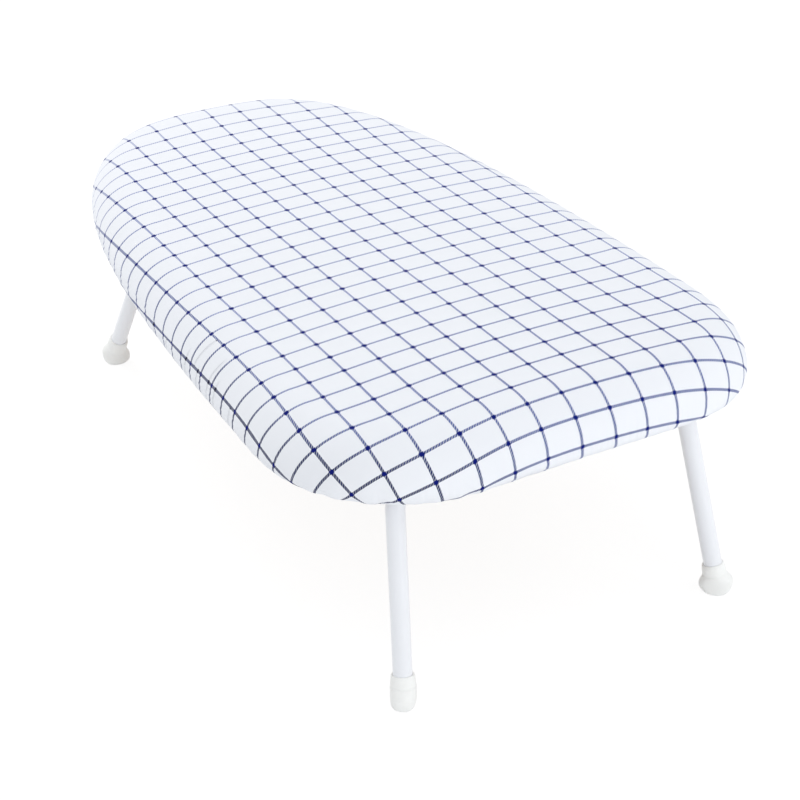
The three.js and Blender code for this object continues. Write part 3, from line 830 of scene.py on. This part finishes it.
def settle():
    """Let the rim's ruffled cloth settle over the pad, and give its points."""
    pad_rings = [lifted(ring, run, -SETTLE_GAP - (ruffle + 1) * spare * RUFFLE_DEPTH * ruffle_share(run))
                 for ring, run in zip(rim_rings, rim_runs) if run <= RUN_UNDER]
    pad = loft_piece("settling_pad", pad_rings, cotton)
    pad.modifiers.new("bumper", "COLLISION")
    pad.collision.thickness_outer = SKIN
    pad.collision.cloth_friction = PAD_FRICTION

    rim = loft_piece("settling_rim", rim_rings, cotton)
    held = rim.vertex_groups.new(name="held")
    for k, run in enumerate(rim_runs):
        held.add(list(range(k * COVER_AROUND, (k + 1) * COVER_AROUND)), grip(run), "REPLACE")
    cloth = rim.modifiers.new("settle", "CLOTH")
    for label, value in CLOTH_SETTINGS.items():
        setattr(cloth.settings, label, value)
    cloth.collision_settings.distance_min = SKIN
    cloth.point_cache.frame_start, cloth.point_cache.frame_end = 1, SETTLE_STEPS
    for step in range(1, SETTLE_STEPS + 1):
        scene.frame_set(step)
    shown = rim.evaluated_get(bpy.context.evaluated_depsgraph_get())
    settled = np.empty(len(rim.data.vertices) * 3, dtype=np.float32)
    shown.data.vertices.foreach_get("co", settled)
    scene.frame_set(1)
    bpy.data.objects.remove(rim)
    bpy.data.objects.remove(pad)
    return settled.reshape(-1, 3).astype(float)


print("rim rings held fast", sum(grip(run) == 1.0 for run in rim_runs), "of", len(rim_runs))

# %% Move the points of the cover
SETTLE_CAP = 3 * MM
start = np.vstack(cover_rings[:TOP_RINGS] + rim_rings)
move = np.zeros_like(start)
on_top = TOP_RINGS * COVER_AROUND
move[on_top:] = settle() - start[on_top:]
moved = np.linalg.norm(move, axis=1)[:, None]
move *= np.minimum(1, SETTLE_CAP / np.maximum(moved, 1e-9))
cover.data.vertices.foreach_set("co", (start + move).astype(np.float32).ravel())
cover.data.update()
print("cloth moved up to", round(float(moved.max() / MM), 2), "mm and",
      round(float(moved.mean() / MM), 3), "mm on average")

# %% Give the cotton its thickness
CLOTH_THICKNESS = 0.7 * MM
clean_mesh(cover)
solid = cover.modifiers.new("thickness", "SOLIDIFY")
solid.thickness = CLOTH_THICKNESS
solid.offset = -1
cover = plain_mesh(cover)
cover.data.shade_smooth()
dress(cover, "board", "cotton", "cotton_cover")

# %% [markdown]
# ## The foam pad
#
# Under the cotton lies a soft pad that rolls round the panel's edge and makes the thick rim.
# The cover hides it, but an exploded view would show it, so it is a real closed body: the same
# rings as the cover, a cloth's thickness further in, and a pocket for the panel.

# %% Foam
PAD_AROUND, PAD_TOP_RINGS, PAD_RIM_RINGS = 240, 8, 26
PAD_DEPTH = 1.3 * MM
POCKET_OUT, POCKET_Z, SKIRT_Z = -18.2 * MM, 161.8 * MM, UNDER_Z + PAD_DEPTH

foam, shader = start_material("cut_foam", (0.86, 0.82, 0.70), 0.95)
cells = cells_at(object_place(shader), 900.0)
set_socket(shader.inputs["Base Color"], mix_colour(cells, (0.78, 0.73, 0.60, 1), (0.88, 0.85, 0.74, 1)))
add_bump(shader, cells, 0.6 * MM, 0.8)


def pad_rings():
    place, normal, inner, spine = board_lines(PAD_AROUND)
    rise, sag = crown_rise(inner[:, 1]), sag_depth(place)
    rings = [crowned(spine + (inner - spine) * share) - (0, 0, PAD_DEPTH)
             for share in np.linspace(0, 1, PAD_TOP_RINGS + 1)[:-1]]
    for run in np.linspace(0, RUN_UNDER, PAD_RIM_RINGS):
        rings.append(sagged(rim_ring(run, place, normal, rise, PAD_DEPTH), run, sag))
    pocket = place + normal * POCKET_OUT
    for share, z in ((1.0, SKIRT_Z), (1.0, POCKET_Z), (0.5, POCKET_Z), (0.0, POCKET_Z)):
        rings.append(at_level(spine + (pocket - spine) * share, z))
    return rings


pad = loft_piece("padding", pad_rings(), foam)
clean_mesh(pad)
dress(pad, "board", "foam", "foam_pad")
print("pad triangles", triangle_count(pad))

# %% [markdown]
# ## The elastic
#
# A flat knitted band runs in the hem's tunnel. It is a ring with a small rounded section and a
# ribbed weave, made from the same outline.

# %% Elastic band
# Upper half of the band's section, in millimetres: out from the fold, and up from the middle
BAND_TOP = [(-0.3, 0.45), (0.0, 0.6), (5.0, 0.6), (5.3, 0.45)]
BAND_SECTION = BAND_TOP + [(out, -up) for out, up in reversed(BAND_TOP)]

knit, shader = start_material("knitted_elastic", (0.82, 0.82, 0.79), 0.85)
add_bump(shader, cells_at(object_place(shader), 1400.0), 0.3 * MM, 0.7)
band_place, band_normal = outline(PAD_AROUND)
band_rings = [at_level(band_place + band_normal * (FOLD_OUT + out * MM), HEM_Z + up * MM)
              for out, up in BAND_SECTION]
elastic = loft_piece("elastic_band", band_rings, knit, loop=True)
clean_mesh(elastic)
dress(elastic, "board", "elastic", "hem_elastic")
print("elastic triangles", triangle_count(elastic))

# %% [markdown]
# ## Geometry Nodes for what repeats
#
# Stitches, screws and the bent tubes all follow a simple rule, so small node trees make them.
# Each tree has named sizes, ends in Realize Instances and Set Material, and its result is copied
# to a plain mesh, so that nothing is left to evaluate later.

# %% Helpers for Geometry Nodes
def start_tree(name, sizes):
    tree = bpy.data.node_groups.new(name, "GeometryNodeTree")

    def add_socket(label, kind, in_out="INPUT"):
        return tree.interface.new_socket(label, in_out=in_out, socket_type=f"NodeSocket{kind}")

    add_socket("Geometry", "Geometry")
    for label, value in sizes.items():
        add_socket(label, "Float").default_value = value
    add_socket("Shape", "Object")
    add_socket("Finish", "Material")
    add_socket("Geometry", "Geometry", "OUTPUT")
    return tree, tree.nodes.new("NodeGroupInput").outputs


def place_shapes(tree, given, points, rotation):
    shape = add_node(tree, "GeometryNodeObjectInfo", {"Object": given["Shape"]}).outputs["Geometry"]
    sockets = {"Points": points, "Instance": shape, "Rotation": rotation}
    return add_node(tree, "GeometryNodeInstanceOnPoints", sockets)


def end_tree(tree, given, last):
    real = add_node(tree, "GeometryNodeRealizeInstances", {"Geometry": last.outputs[0]})
    sockets = {"Geometry": real.outputs[0], "Material": given["Finish"]}
    finish = add_node(tree, "GeometryNodeSetMaterial", sockets)
    add_node(tree, "NodeGroupOutput", {0: finish.outputs[0]})
    return tree


# %% Helpers to run a tree
def grow(piece, tree, **values):
    """Run a tree on a piece with named values and return the result as a plain mesh."""
    modifier = piece.modifiers.new(tree.name, "NODES")
    modifier.node_group = tree
    for item in tree.interface.items_tree:
        label = item.name.replace(" ", "_").lower()
        if item.in_out == "INPUT" and label in values:
            modifier[item.identifier] = values[label]
    return plain_mesh(piece)


def line_piece(name, points, closed=False):
    """A curve through points, as the path for a tree."""
    data = bpy.data.curves.new(name, "CURVE")
    data.dimensions = "3D"
    spline = data.splines.new("POLY")
    spline.points.add(len(points) - 1)
    for point, spot in zip(spline.points, points):
        point.co = (*spot, 1)
    spline.use_cyclic_u = closed
    return link_object(name, data)


# %% [markdown]
# ## The hem's stitches
#
# A row of machine stitches closes the tunnel. Each stitch is a short thread that dives into the
# cloth at both ends, so a small bent capsule is placed along the hem at an even spacing.

# %% Stitches
STITCH_PITCH, STITCH_SPAN, STITCH_RADIUS = mm(3.6, 2.7, 0.28)
STITCH_SIDES, STITCH_RINGS = 6, 7
STITCH_OUT = HEM_OUT - 0.9 * MM
STITCH_Z = UNDER_Z + HEM_BOTTOM_STEP - 0.05 * MM

thread_white, shader = start_material("sewing_thread", (0.80, 0.82, 0.86), 0.7)
twist = add_node(shader.id_data, "ShaderNodeTexWave",
                 {"Vector": object_place(shader), "Scale": 900.0, "Distortion": 1.0})
add_bump(shader, twist.outputs["Fac"], 0.1 * MM, 0.6)


def angles_round(count):
    return np.arange(count) / count * FULL_TURN


def stitch_shape():
    rings, angle = [], angles_round(STITCH_SIDES)
    for t in np.linspace(-1, 1, STITCH_RINGS):
        radius = STITCH_RADIUS * math.sqrt(max(0.02, 1 - t ** 4))
        dip = STITCH_RADIUS * (0.35 - 0.9 * t * t)
        x = np.full(STITCH_SIDES, t * STITCH_SPAN / 2)
        rings.append(np.c_[x, radius * np.cos(angle), dip + radius * np.sin(angle)])
    return loft_piece("stitch_shape", rings, thread_white)


def stitch_tree():
    tree, given = start_tree("row_of_stitches", {"Pitch": STITCH_PITCH})
    sockets = {"Curve": given["Geometry"], "Length": given["Pitch"]}
    points = add_node(tree, "GeometryNodeCurveToPoints", sockets, mode="LENGTH").outputs
    turn = add_node(tree, "FunctionNodeAlignRotationToVector", {"Vector": points["Tangent"]}, axis="X")
    return end_tree(tree, given, place_shapes(tree, given, points["Points"], turn.outputs["Rotation"]))


stitch = stitch_shape()
stitch_line = line_piece("hem_stitches", at_level(edge + edge_normal * STITCH_OUT, STITCH_Z), closed=True)
stitches = grow(stitch_line, stitch_tree(), pitch=STITCH_PITCH, shape=stitch, finish=thread_white)
bpy.data.objects.remove(stitch)
dress(stitches, "board", "cotton")
print("stitch triangles", triangle_count(stitches))

# %% [markdown]
# ## White powder coat
#
# The legs are steel tube under a glossy white powder coat: nearly smooth, with the faint ripple
# that such coats keep, and a cool white beside the warmer rubber.

# %% Paint
paint, shader = start_material("white_powder_coat", (0.87, 0.885, 0.92), 0.28,
                               coat_weight=0.25, coat_roughness=0.12)


def vary_roughness(shader, place, scale, low, high):
    set_socket(shader.inputs["Roughness"], map_range(noise_at(place, scale), 0.0, 1.0, low, high))


spot = object_place(shader)
add_bump(shader, noise_at(spot, 700.0, 2.0), 0.02 * MM, 0.35)
vary_roughness(shader, spot, 35.0, 0.24, 0.34)
print("paint ready")

# %% [markdown]
# ## The bent leg tubes
#
# Each frame is one length of tube bent to a wide U: a top bar, two bends, two splayed legs.
# The tree rounds the corners of a four-point path and sweeps a circle along it. That is how the
# tube is made too: a straight length, bent twice round a former.

# %% Places of the two frames
TUBE_RADIUS, BEND_RADIUS = mm(6.35, 18)
PIVOT_Z, CORNER_Y, SPLAY = 142.75 * MM, 108.3 * MM, math.radians(5.9)
SIDES = {"left": -1, "right": 1}
FRAMES = {
    "wide": {"way": 1, "pivot_x": 257.565 * MM, "tilt": math.radians(14), "body": "wide_legs",
             "knee": 8.5 * MM, "lip": 22.0 * MM, "foot_turn": math.radians(43)},
    "nose": {"way": -1, "pivot_x": -152.2 * MM, "tilt": math.radians(30.5), "body": "nose_legs",
             "knee": 11.6 * MM, "lip": 25.4 * MM, "foot_turn": math.radians(72)},
}


def leg_line(spec, side):
    """Corner, direction down the leg, and length of the axis from the corner to the foot's knee."""
    tilt = spec["tilt"]
    down = Vector((spec["way"] * math.sin(tilt) * math.cos(SPLAY), side * math.sin(SPLAY),
                   -math.cos(tilt) * math.cos(SPLAY)))
    corner = Vector((spec["pivot_x"], side * CORNER_Y, PIVOT_Z))
    return corner, down, (PIVOT_Z - spec["knee"]) / -down.z


for label, spec in FRAMES.items():
    print(label, "legs", round(leg_line(spec, 1)[2] / MM, 1), "mm long from the corner to the knee")

# %% Leg tubes
TUBE_SIDES, BEND_STEPS = 40, 20
SOCKET_DEPTH, SOCKET_GAP = mm(9, 0.4)


def tube_tree():
    tree, given = start_tree("bent_tube", {"Tube Radius": TUBE_RADIUS, "Bend Radius": BEND_RADIUS})
    sockets = {"Curve": given["Geometry"], "Count": BEND_STEPS, "Radius": given["Bend Radius"]}
    bent = add_node(tree, "GeometryNodeFilletCurve", sockets, mode="POLY")
    sockets = {"Resolution": TUBE_SIDES, "Radius": given["Tube Radius"]}
    ring = add_node(tree, "GeometryNodeCurvePrimitiveCircle", sockets)
    sockets = {"Curve": bent.outputs[0], "Profile Curve": ring.outputs[0], "Fill Caps": True}
    swept = add_node(tree, "GeometryNodeCurveToMesh", sockets)
    smooth_tube = add_node(tree, "GeometryNodeSetShadeSmooth", {"Geometry": swept.outputs[0]})
    return end_tree(tree, given, smooth_tube)


bent_tube = tube_tree()
for label, spec in FRAMES.items():
    path = []
    for side in SIDES.values():
        corner, down, length = leg_line(spec, side)
        end = corner + down * (length - (spec["lip"] - spec["knee"]) / -down.z + SOCKET_DEPTH - SOCKET_GAP)
        path += [end, corner] if side < 0 else [corner, end]
    tube = grow(line_piece(f"{label}_tube", path), bent_tube,
                tube_radius=TUBE_RADIUS, bend_radius=BEND_RADIUS, finish=paint)
    dress(tube, spec["body"], "white_paint", f"{label}_leg_tube")
    print(tube.name, "triangles", triangle_count(tube))

# %% [markdown]
# ## Rubber feet
#
# Each foot is one moulding: an oval base with a flat sole and a rounded edge, a knee, and above it
# a round collar with a soft lip where the tube goes in. The base stands level on the table, while
# the collar leans with the leg. The base is a little boxier than an ellipse, and a small ledge
# marks the foot of the collar.
# So it is a loft: level ovals below the knee turn, ring by ring, into circles across the tube.

# %% Rubber
rubber, shader = start_material("white_rubber", (0.93, 0.935, 0.92), 0.55)
spot = object_place(shader)
tint = mix_colour(noise_at(spot, 60.0, 4.0), (0.915, 0.92, 0.905, 1), (0.945, 0.95, 0.935, 1))
set_socket(shader.inputs["Base Color"], tint)
add_bump(shader, noise_at(spot, 2500.0, 2.0), 0.04 * MM, 0.4)
print("rubber ready")

# %% Sizes of a foot
FOOT_AROUND = 64
FOOT_LONG, FOOT_SHORT = mm(11.9, 8.0)
FOOT_WIDEST, FOOT_STEP = mm(8.6, 5.4)
FOOT_LEAN = 0.9  # share of the leg's lean that the widest oval takes
LEAN_START, LEAN_SPAN = 0.6, 8.0  # millimetres above the sole
COLLAR, SOCKET = TUBE_RADIUS + 1.85 * MM, TUBE_RADIUS + 0.1 * MM
SHOULDER = COLLAR + 0.4 * MM
BASE_SQUARE = 0.84  # power that makes the base's ovals boxier than ellipses; 1 is an ellipse
# Rings of the base, in millimetres: height, and inset from the widest oval along it and across it
BASE_RINGS = [(0.0, 5.0, 1.6), (0.25, 4.2, 1.0), (0.8, 3.2, 0.6), (1.7, 2.2, 0.35),
              (3.0, 1.25, 0.18), (4.6, 0.55, 0.08), (6.4, 0.12, 0.0), (8.6, 0.0, 0.0)]
# Rings of the ledge, in millimetres: above the shoulder, and outside the collar
LEDGE_RINGS = [(0.2, 0.1), (0.6, 0.0)]
# Rings of the lip, in millimetres: below the lip along the tube, and outside the collar
LIP_RINGS = [(5.0, 0.04), (3.6, -0.06), (2.4, -0.22), (1.3, -0.45), (0.6, -0.68), (0.25, -0.9),
             (0.08, -1.15), (0.0, -1.4), (0.03, -1.65), (0.12, -1.88)]
print("collar of", round(2 * COLLAR / MM, 1), "mm on a tube of", round(2 * TUBE_RADIUS / MM, 1), "mm")


# %% Feet
def between(first, second, share):
    return first + (second - first) * share


def foot_rings(spec, axis, long_axis):
    up = Vector((0, 0, 1))
    angle = angles_round(FOOT_AROUND)

    def ring(height, lean, long, short, power=1.0):
        """An oval at a height: level centres below the knee, on the leaning tube above it."""
        centre = up * min(height, spec["knee"]) + axis * (max(0.0, height - spec["knee"]) / axis.z)
        face = up.lerp(axis, lean).normalized()
        first = (long_axis - face * long_axis.dot(face)).normalized()
        second = face.cross(first)
        along, across = (np.sign(wave) * np.abs(wave) ** power for wave in (np.cos(angle), np.sin(angle)))
        return (np.array(centre)[None, :] + np.outer(along * long, np.array(first))
                + np.outer(across * short, np.array(second)))

    def circle(height, radius):
        return ring(height, 1, radius, radius)

    rings = [ring(0, 0, 0, 0)]
    for height, along, across in BASE_RINGS:
        lean = FOOT_LEAN * smooth(max(0.0, (height - LEAN_START) / LEAN_SPAN))
        rings.append(ring(height * MM, lean, FOOT_LONG - along * MM, FOOT_SHORT - across * MM, BASE_SQUARE))
    for share in (0.25, 0.5, 0.75, 1.0):
        ease = (share + smooth(share)) / 2
        rings.append(ring(FOOT_WIDEST + FOOT_STEP * share, between(FOOT_LEAN, 1, ease),
                          between(FOOT_LONG, SHOULDER, ease), between(FOOT_SHORT, SHOULDER, ease),
                          between(BASE_SQUARE, 1, ease)))
    for above, beyond in LEDGE_RINGS:
        rings.append(circle(FOOT_WIDEST + FOOT_STEP + above * MM, COLLAR + beyond * MM))
    for below, beyond in LIP_RINGS:
        rings.append(circle(spec["lip"] - below * MM * axis.z, COLLAR + beyond * MM))
    return rings + [circle(spec["lip"] - SOCKET_DEPTH * axis.z, radius) for radius in (SOCKET, 0)]


for label, spec in FRAMES.items():
    for side_name, side in SIDES.items():
        corner, down, length = leg_line(spec, side)
        knee = corner + down * length
        turn = spec["foot_turn"]
        long_axis = Vector((spec["way"] * math.cos(turn), side * math.sin(turn), 0))
        rings = [ring + np.array([[knee.x, knee.y, 0]]) for ring in foot_rings(spec, -down, long_axis)]
        foot = loft_piece(f"{label}_{side_name}_rubber", rings, rubber)
        clean_mesh(foot)
        dress(foot, spec["body"], "rubber", f"{label}_{side_name}_foot")
print("feet of", triangle_count(foot), "triangles")

# %% [markdown]
# ## The panel
#
# The CAD panel is already the right flat shape, so it keeps its mesh and gets the look of raw
# fibreboard: pressed brown fibres in every direction, with darker specks.

# %% Fibreboard
DARK_FIBRE, LIGHT_FIBRE, SPECK = (0.22, 0.12, 0.055, 1), (0.46, 0.29, 0.16, 1), (0.10, 0.05, 0.025, 1)

fibreboard, shader = start_material("raw_fibreboard", (0.34, 0.20, 0.10), 0.78)
spot = object_place(shader)
streaks = stretched_noise(spot, (260, 1400, 600), 5.0, 0.65)
cross = stretched_noise(spot, (1400, 260, 600), 5.0, 0.65)
fibres = times(plus(streaks, cross), 0.5)
specks = map_range(noise_at(spot, 420.0, 4.0, 0.8), 0.36, 0.30, 0.0, 0.55)
brown = mix_colour(fibres, DARK_FIBRE, LIGHT_FIBRE)
set_socket(shader.inputs["Base Color"], mix_colour(specks, brown, SPECK))
add_bump(shader, fibres, 0.1 * MM, 0.5)


def cad_finish(node, material):
    shown = next(o for o in scene.objects if o.get("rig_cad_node") == node)
    shown.data.materials.clear()
    shown.data.materials.append(material)


cad_finish("board_panel", fibreboard)
print("panel finished")

# %% [markdown]
# ## Saddles, clips and stops
#
# Underneath, plastic saddles hold each top bar to the panel, a steel tab on each bar meets the
# panel when the frame is open, and a plastic clip takes a leg of the folded frame.
# Moulded and pressed pieces have no sharp edges, so each one is a drawn section, extruded, and
# then bevelled.

# %% Moulded nylon
BEVEL_FROM, SHARP_FROM, BEVEL_STEPS = math.radians(35), math.radians(40), 3

nylon, shader = start_material("white_nylon", (0.74, 0.75, 0.73), 0.45, subsurface_weight=0.05)
spot = object_place(shader)
add_bump(shader, noise_at(spot, 1800.0, 2.0), 0.03 * MM, 0.5)
vary_roughness(shader, spot, 90.0, 0.38, 0.55)


def arc_points(radius, start, stop, count, lower=0.0):
    return [(radius * math.cos(a), radius * math.sin(a) - lower) for a in np.linspace(start, stop, count)]


def mirrored(points):
    """A path on the left, and the same path back on the right."""
    return points, [(-x, z) for x, z in reversed(points)]


def extruded(name, section_points, depth, bevel, material, place, turn=0.0):
    """A section in X and Z pulled along Y, bevelled, then turned about Z and set in its place."""
    work = bmesh.new()
    front, back = ([work.verts.new((x, y, z)) for x, z in section_points] for y in (-depth / 2, depth / 2))
    work.faces.new(front)
    work.faces.new(back[::-1])
    for k in range(len(front)):
        j = (k + 1) % len(front)
        work.faces.new((front[k], back[k], back[j], front[j]))
    bmesh.ops.recalc_face_normals(work, faces=work.faces)
    sharp = [e for e in work.edges if len(e.link_faces) == 2 and e.calc_face_angle(0) > BEVEL_FROM]
    bmesh.ops.bevel(work, geom=sharp, offset=bevel, segments=BEVEL_STEPS, profile=0.5,
                    affect="EDGES", clamp_overlap=True)
    bmesh.ops.triangulate(work, faces=[f for f in work.faces if len(f.verts) > 4])
    work.transform(Matrix.Translation(place) @ Matrix.Rotation(turn, 4, "Z"))
    mesh = bpy.data.meshes.new(name)
    work.to_mesh(mesh)
    work.free()
    mesh.materials.append(material)
    mesh.shade_smooth()
    mesh.set_sharp_from_angle(angle=SHARP_FROM)
    return link_object(name, mesh)


print("nylon ready")

# %% Pivot saddles
PANEL_BOTTOM = 149.5 * MM
PIVOT_DROP = PANEL_BOTTOM - PIVOT_Z
PANEL_GAP, FLANGE = mm(0.3, 2.5)
FLANGE_TOP = PIVOT_DROP - PANEL_GAP
FLANGE_LOW = FLANGE_TOP - FLANGE
SADDLE_INNER, SADDLE_OUTER, SADDLE_HALF = mm(6.7, 9.1, 15.7)
SADDLE_Y, SADDLE_WIDTH, SADDLE_BEVEL = mm(62.6, 20, 0.5)
SADDLE_SCREW, ARCH_POINTS = 12.4 * MM, 25

left_flange, right_flange = mirrored(
    [(-SADDLE_HALF, FLANGE_TOP), (-SADDLE_HALF, FLANGE_LOW), (-SADDLE_OUTER, FLANGE_LOW)])
saddle_section = left_flange + arc_points(SADDLE_OUTER, math.pi, FULL_TURN, ARCH_POINTS)
saddle_section += right_flange + [(SADDLE_INNER, FLANGE_TOP)]
saddle_section += arc_points(SADDLE_INNER, FULL_TURN, math.pi, ARCH_POINTS) + [(-SADDLE_INNER, FLANGE_TOP)]
screw_places, screw_nodes = [], []
for label, spec in FRAMES.items():
    for side_name, side in SIDES.items():
        node = f"{label}_{side_name}_saddle"
        saddle = extruded(f"{node}_moulding", saddle_section, SADDLE_WIDTH, SADDLE_BEVEL, nylon,
                          (spec["pivot_x"], side * SADDLE_Y, PIVOT_Z))
        dress(saddle, "board", "white_plastic", node)
        for end, way in (("nose", -1), ("wide", 1)):
            screw_places.append((spec["pivot_x"] + way * SADDLE_SCREW, side * SADDLE_Y))
            screw_nodes.append(f"{node}_screw_{end}")
print("saddles of", triangle_count(saddle), "triangles")

# %% Leg clips
CLIP_LENGTH, CLIP_ARM, CLIP_LIP, CLIP_FLANGE, CLIP_CLEARANCE = mm(16, 2, 3, 8.6, 0.6)
CLIP_SEAT = TUBE_RADIUS + CLIP_CLEARANCE
CLIP_OUTER = CLIP_SEAT + CLIP_ARM
CLIP_BEVEL, SEAT_POINTS = 0.4 * MM, 21
CAD_KNEE, COLLAR_REACH = 8 * MM, 14.5 * MM  # the foot's knee over the table, and its collar up the leg
DROOP = math.radians(3)  # how far a folded leg hangs below the level


def clip_section(drop):
    plate, lip = CLIP_OUTER + CLIP_FLANGE, -drop - CLIP_LIP
    top, low = -PANEL_GAP, -PANEL_GAP - FLANGE
    left, right = mirrored(
        [(-plate, top), (-plate, low), (-CLIP_OUTER, low), (-CLIP_OUTER, lip), (-CLIP_SEAT, lip)])
    return left + arc_points(CLIP_SEAT, math.pi, 0, SEAT_POINTS, drop) + right


for label, spec in FRAMES.items():
    along = (BEND_RADIUS + (PIVOT_Z - CAD_KNEE) / math.cos(spec["tilt"]) - COLLAR_REACH) / 2
    x = spec["pivot_x"] - spec["way"] * along * math.cos(DROOP)
    y = -(CORNER_Y + along * math.tan(SPLAY))
    turn = -spec["way"] * SPLAY
    seat = clip_section(PIVOT_DROP + along * math.sin(DROOP))
    clip = extruded(f"{label}_clip_moulding", seat, CLIP_LENGTH, CLIP_BEVEL, nylon,
                    (x, y, PANEL_BOTTOM), math.pi / 2 - turn)
    dress(clip, "board", "white_plastic", f"{label}_leg_clip")
    out = CLIP_OUTER + CLIP_FLANGE / 2
    for place_name, way in (("inner", 1), ("outer", -1)):
        screw_places.append((x + way * out * math.sin(turn), y + way * out * math.cos(turn)))
        screw_nodes.append(f"{label}_leg_clip_screw_{place_name}")
print("clips of", triangle_count(clip), "triangles")

# %% Stop tabs
TAB_REACH, TAB_WIDTH, TAB_HALF, TAB_BEVEL = mm(15, 36, 1.25, 0.35)
TAB_ROOT = TUBE_RADIUS + 0.3 * MM
# The lift that brings the tab's upper edge to the panel when the frame is open
TAB_LIFT = math.asin(FLANGE_TOP / math.hypot(TAB_REACH, TAB_HALF)) - math.atan2(TAB_HALF, TAB_REACH)

tab_bar = [(TAB_ROOT, -TAB_HALF), (TAB_REACH, -TAB_HALF), (TAB_REACH, TAB_HALF), (TAB_ROOT, TAB_HALF)]
tab_cos, tab_sin = math.cos(TAB_LIFT), math.sin(TAB_LIFT)
tab_section = [(x * tab_cos - z * tab_sin, x * tab_sin + z * tab_cos) for x, z in tab_bar]
for label, spec in FRAMES.items():
    tab = extruded(f"{label}_stop_bar", tab_section, TAB_WIDTH, TAB_BEVEL, paint,
                   (spec["pivot_x"], 0, PIVOT_Z), 0.0 if spec["way"] > 0 else math.pi)
    dress(tab, spec["body"], "white_paint", f"{label}_stop_tab")
print("tabs of", triangle_count(tab), "triangles")

# %% [markdown]
# ## Screws
#
# Twelve zinc-plated pan head screws hold the saddles and clips. One screw is turned as a profile,
# with a cross pressed into its head, and a tree sets a copy at every point, each turned by its own
# fixed angle, as a driver leaves them.

# %% One zinc-plated screw
SCREW_AROUND = 48
HEAD_RADIUS, HEAD_HEIGHT, SHANK_RADIUS, SHANK_TIP = mm(3.0, 2.2, 1.75, 11.1)
HEAD_EDGE, POINT_LENGTH = mm(0.1, 3.5)
HEAD_SHARES = (0.0, 0.12, 0.24, 0.36, 0.46, 0.54, 0.62, 0.72, 0.82, 0.9, 0.96, 1.0)
CROSS_HALF, CROSS_REACH, CROSS_DEPTH = mm(0.42, 1.75, 1.1)
CROSS_SIDE, CROSS_END = 0.18 * MM, 0.25 * MM  # widths of the sloping walls of the cross

zinc, shader = start_material("zinc_plate", (0.55, 0.57, 0.60), 0.32, metallic=1.0)
vary_roughness(shader, object_place(shader), 1200.0, 0.22, 0.45)


def cross_arm(along, across):
    """1 in one bar of the cross, 0 outside it."""
    inside = np.clip((CROSS_HALF - np.abs(across)) / CROSS_SIDE, 0, 1)
    return inside * np.clip((CROSS_REACH - np.abs(along)) / CROSS_END, 0, 1)


def screw_shape():
    angle = angles_round(SCREW_AROUND)
    circle = np.c_[np.cos(angle), np.sin(angle)]
    rings = []
    for share in HEAD_SHARES:
        x, y = (HEAD_RADIUS * share * circle).T
        dome = -HEAD_HEIGHT * (1 - 0.55 * share ** 4)
        rings.append(np.c_[x, y, dome + CROSS_DEPTH * np.maximum(cross_arm(x, y), cross_arm(y, x))])
    for radius, z in ((HEAD_RADIUS, -HEAD_EDGE), (HEAD_RADIUS - HEAD_EDGE, 0), (SHANK_RADIUS, 0),
                      (SHANK_RADIUS, SHANK_TIP - POINT_LENGTH), (0, SHANK_TIP)):
        rings.append(at_level(radius * circle, z))
    shape = loft_piece("screw_shape", rings, zinc)
    clean_mesh(shape)
    shape.data.set_sharp_from_angle(angle=SHARP_FROM)
    return shape


screw = screw_shape()
print("screw of", triangle_count(screw), "triangles")

# %% Screws at their points
TURN_STEP = 2.4  # radians from one screw to the next
SCREW_SEAT = PANEL_BOTTOM - 3.1 * MM


def screw_tree():
    tree, given = start_tree("screws_at_points", {"Turn Step": TURN_STEP})
    points = add_node(tree, "GeometryNodeMeshToPoints", {"Mesh": given["Geometry"], "Radius": MM})
    angle = times(add_node(tree, "GeometryNodeInputIndex").outputs[0], given["Turn Step"])
    euler = add_node(tree, "ShaderNodeCombineXYZ", {"Z": angle})
    turn = add_node(tree, "FunctionNodeEulerToRotation", {0: euler.outputs[0]})
    return end_tree(tree, given, place_shapes(tree, given, points.outputs[0], turn.outputs[0]))


screw_points = make_piece("panel_screws", [(x, y, SCREW_SEAT) for x, y in screw_places], [], zinc)
screws = grow(screw_points, screw_tree(), turn_step=TURN_STEP, shape=screw, finish=zinc)
bpy.data.objects.remove(screw)
dress(screws, "board", "steel", *screw_nodes)
print(len(screw_nodes), "screws,", triangle_count(screws), "triangles")
